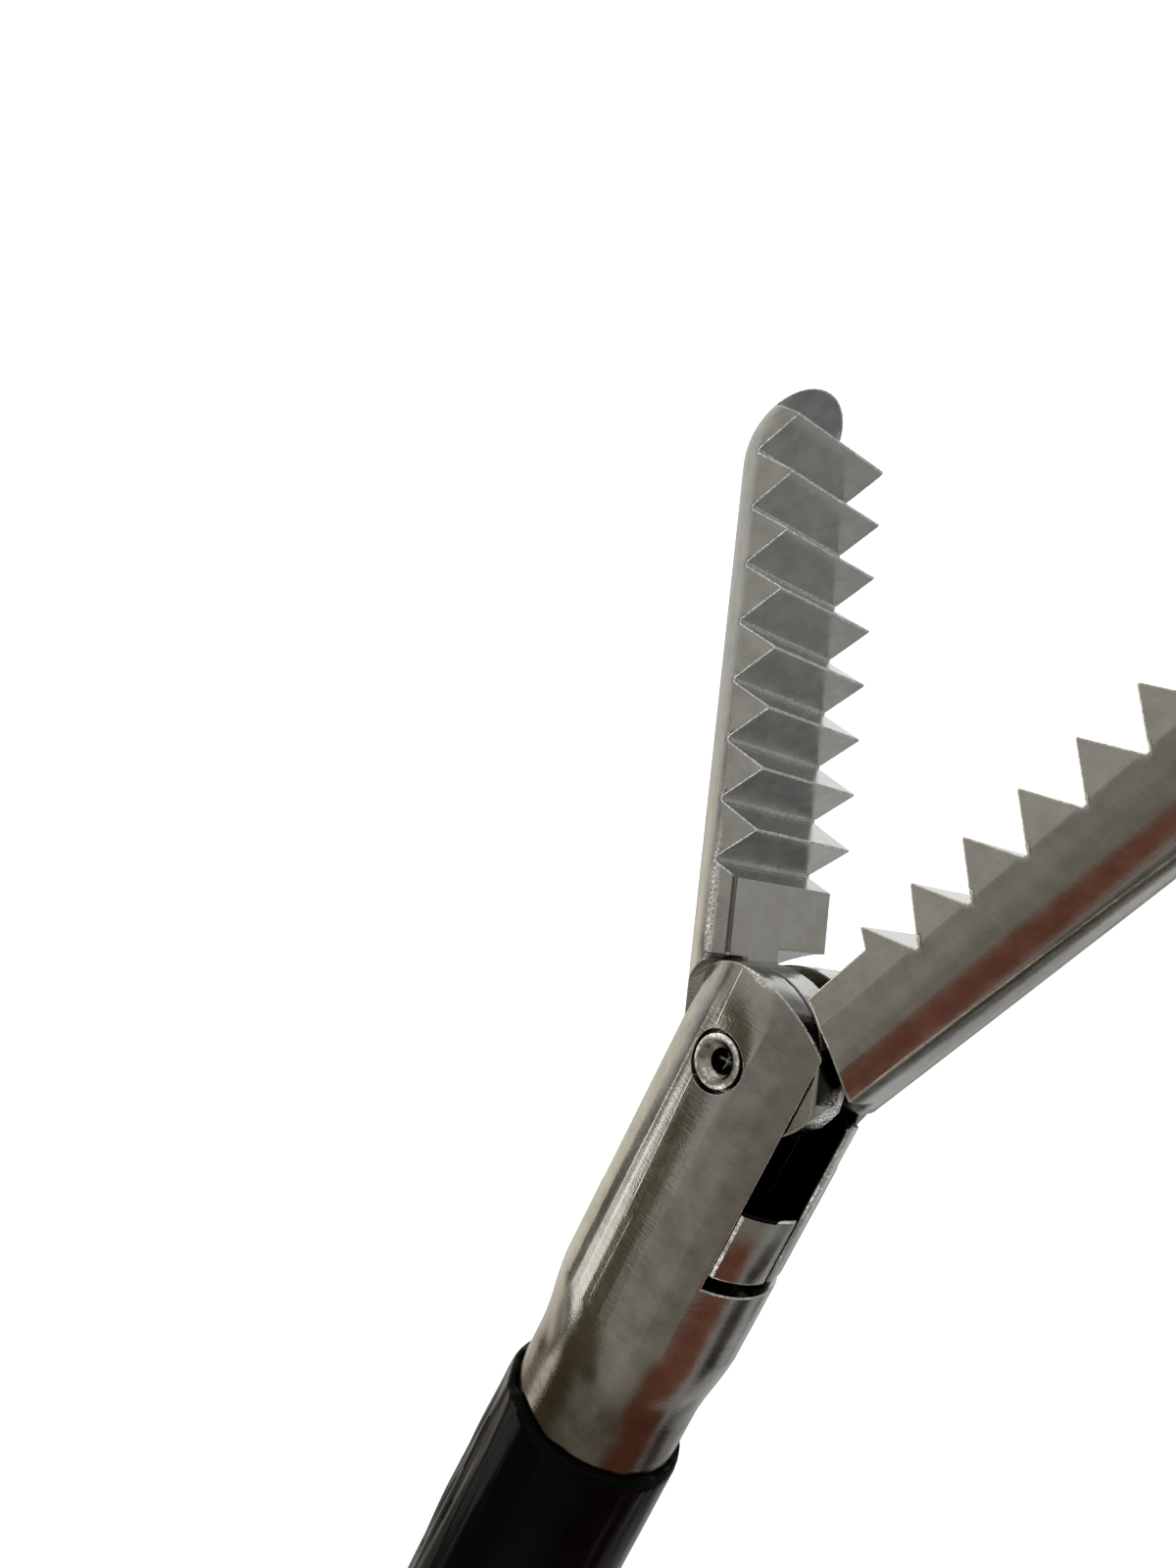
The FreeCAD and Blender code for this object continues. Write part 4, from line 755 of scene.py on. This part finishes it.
def clevisForm(sizes):
    def atArms(x, y, z):
        clear = math.hypot(x - pivot[0], y) > sizes["rivetClear"]
        return x > sizes["armsFrom"] and clear and math.hypot(y, z) > sizes["skin"]

    def atSink(x, y, z):
        return sizes["sink"][0] < math.hypot(x - pivot[0], y) < sizes["sink"][1]

    def neckAt(x, degrees):
        t = (x - sizes["shoulderFrom"]) / (sizes["shoulderTo"] - sizes["shoulderFrom"])
        t = min(max(t, 0), 1)
        r = sizes["neckRadius"] + (sizes["radius"] - sizes["neckRadius"]) * (t * t * (3 - 2 * t))
        for place, at, length, spread, depth in sizes["dents"]:
            off = angleApart(degrees, at)
            r -= depth * math.exp(-(((x - place) / length) ** 2) - (off / spread) ** 2)
        return max(r, sizes["tubeRadius"] + sizes["leastWall"])

    form = softened("clevis", [(*sizes["armEdge"], atArms), (*sizes["sinkEdge"], atSink)])
    cut = bmesh.ops.bisect_plane(
        form, geom=form.verts[:] + form.edges[:] + form.faces[:], plane_co=(sizes["cut"] * mm, 0, 0),
        plane_no=(-1, 0, 0), clear_outer=True, dist=softening["cut"] * mm,
    )
    rim = [e for e in cut["geom_cut"] if isinstance(e, bmesh.types.BMEdge)]
    bmesh.ops.triangle_fill(form, use_beauty=True, use_dissolve=True, edges=rim)
    angles = [360 * j / sizes["around"] for j in range(sizes["around"])]
    length = sizes["cut"] - sizes["neckBack"]
    count = round(length / sizes["step"])
    places = [sizes["neckBack"] + length * i / count for i in range(count + 1)]
    rows = [[onRound(x, neckAt(x, angle), angle) for angle in angles] for x in places]
    inside = [(sizes["cut"], sizes["bore"]), (sizes["seat"], sizes["bore"]),
              (sizes["seat"], sizes["tubeRadius"]), (sizes["neckBack"], sizes["tubeRadius"])]
    rows += [[onRound(x, r, angle) for angle in angles] for x, r in inside]
    ringForm(form, rows)
    bmesh.ops.recalc_face_normals(form, faces=form.faces)
    return form


steadyNormals(newPiece(
    "clevis_arms", clevisForm(clevisSizes), clevisSteel, "shaft", "clevis"
))
print("clevis made")

# Pivot rivet: a peened head at each end, dished, with a deep dark eye torn into points
rivetSizes = {
    "shank": 0.5, "face": 2.43, "around": 64,
    # from the rim inwards: radius and depth below the face
    "profile": [(0.65, 0.5), (0.65, 0.06), (0.638, 0.02), (0.61, 0.0), (0.5, 0.0), (0.475, 0.02),
                (0.43, 0.09), (0.37, 0.15), (0.31, 0.19), (0.285, 0.23), (0.275, 0.36), (0.265, 0.46),
                (0.16, 0.5)],
    "eye": {"radius": 0.2, "points": 5, "torn": 0.45, "turned": 0.6, "tip": 0.38},
    # radii and depths of the rim painted bright, a painted highlight, and of the eye's walls painted
    # dark, painted shade
    "rim": {"from": 0.6, "to": 0.645, "above": 0.05},
    "dark": {"from": 0.1, "to": 0.29, "below": 0.14},
}


def rivetForm(sizes):
    eye, rim, dark = sizes["eye"], sizes["rim"], sizes["dark"]
    form = bmesh.new()
    edgeLayer = form.loops.layers.float.new("edge")
    darkLayer = form.loops.layers.float.new("dark")
    head = [(r, sizes["face"] - depth) for r, depth in sizes["profile"]]
    under = head[0][1]
    whole = head[::-1] + [(sizes["shank"], under), (sizes["shank"], -under)]
    whole += [(r, -z) for r, z in head]
    rows = []
    for r, z in whole:
        row = []
        for j in range(sizes["around"]):
            angle = 2 * math.pi * j / sizes["around"]
            points = 1 + eye["torn"] * math.cos(eye["points"] * angle + eye["turned"])
            out = r * points if r < eye["radius"] else r
            row.append(((pivot[0] + out * math.cos(angle)) * mm, out * math.sin(angle) * mm, z * mm))
        rows.append(row)
    made = ringForm(form, rows, closed=False)
    for ring, side in ((made[0], 1), (made[-1], -1)):
        tip = form.verts.new((pivot[0] * mm, 0, side * (sizes["face"] - eye["tip"]) * mm))
        for j in range(len(ring)):
            form.faces.new((ring[(j + 1) % len(ring)], ring[j], tip))
    bmesh.ops.recalc_face_normals(form, faces=form.faces)
    for face in form.faces:
        for loop in face.loops:
            out = math.hypot(loop.vert.co.x / mm - pivot[0], loop.vert.co.y / mm)
            depth = sizes["face"] - abs(loop.vert.co.z / mm)
            # the rim is painted bright, a painted highlight, and the eye's deep walls dark, painted shade
            loop[edgeLayer] = float(rim["from"] < out < rim["to"] and depth < rim["above"])
            loop[darkLayer] = float(dark["from"] < out < dark["to"] and depth > dark["below"])
    return form


steadyNormals(newPiece(
    "pivot_rivet_peened", rivetForm(rivetSizes), rivetSteel, "shaft", "pivot_rivet"
))
print("rivet made")

# Drive block: milled, all its edges rounded
blockSizes = {"edge": (0.16, 3)}
blockForm = softened("drive_block", [(*blockSizes["edge"], lambda x, y, z: True)])
steadyNormals(newPiece("drive_block_milled", blockForm, blockSteel, "rod", "drive_block"))
print("block made")

# Insulation sleeve: shrunk on, so it lies close, puckers lengthwise and grips the neck with a thin
# uneven lip
sleeveSizes = {
    "front": 301.3, "radius": 2.485, "bore": 2.212, "around": 160,
    "fineFrom": 280.0, "fineStep": 0.2, "coarseStep": 2.5,
    "lipRadius": 2.34, "lipLength": 0.3, "lipPower": 2.6, "ragged": 0.12, "raggedTurns": 4,
    "lipStops": (0, 0.2, 0.4, 0.58, 0.72, 0.83, 0.91, 0.97, 1), "lipBore": 2.264, "lipUnder": (0.03, 0.3),
    # angle in degrees, spread in degrees, height in mm of the puckered bands
    "flat": 0.004, "puckers": [(-48, 24, 0.085), (75, 22, 0.02), (150, 50, 0.03), (235, 40, 0.03)],
    # length in mm, turns round the sleeve and share of each cloudy pattern in the puckers
    "clouds": [(5.0, 7.5, 1.0), (2.2, 16, 0.7)],
}


def sleeveForm(sizes):
    def pucker(x, degrees):
        angle = math.radians(degrees)
        height = sizes["flat"]
        for at, spread, most in sizes["puckers"]:
            height += most * math.exp(-(angleApart(degrees, at) / spread) ** 2)
        total = 0
        for length, turns, share in sizes["clouds"]:
            place = Vector((x / length, turns * math.cos(angle), turns * math.sin(angle)))
            total += share * clouds.noise(place)
        return height * total

    def lipAt(degrees):
        angle, turns = math.radians(degrees), sizes["raggedTurns"]
        place = Vector((0.3, turns * math.cos(angle), turns * math.sin(angle)))
        return sizes["ragged"] * clouds.noise(place)

    angles = [360 * j / sizes["around"] for j in range(sizes["around"])]
    places = list(np.arange(0.0, sizes["fineFrom"], sizes["coarseStep"]))
    places += list(np.arange(sizes["fineFrom"], sizes["front"] - sizes["lipLength"], sizes["fineStep"]))
    rows = [[onRound(x, sizes["radius"] + pucker(x, angle), angle) for angle in angles] for x in places]
    for t in sizes["lipStops"]:
        bulge = math.sqrt(1 - t ** sizes["lipPower"])
        r = sizes["lipRadius"] + (sizes["radius"] - sizes["lipRadius"]) * bulge
        row = []
        for angle in angles:
            x = sizes["front"] - sizes["lipLength"] * (1 - t) + lipAt(angle) * t
            row.append(onRound(x, r + pucker(x, angle) * (1 - t), angle))
        rows.append(row)
    for back in sizes["lipUnder"]:
        x = sizes["front"] - back
        rows.append([onRound(x + lipAt(angle), sizes["lipBore"], angle) for angle in angles])
    rows.append([onRound(0.0, sizes["bore"], angle) for angle in angles])
    form = bmesh.new()
    ringForm(form, rows)
    bmesh.ops.recalc_face_normals(form, faces=form.faces)
    return form


newPiece(
    "insulation_sleeve_shrunk", sleeveForm(sleeveSizes), sleeveBlack, "shaft",
    "insulation_sleeve",
)
print("sleeve made")
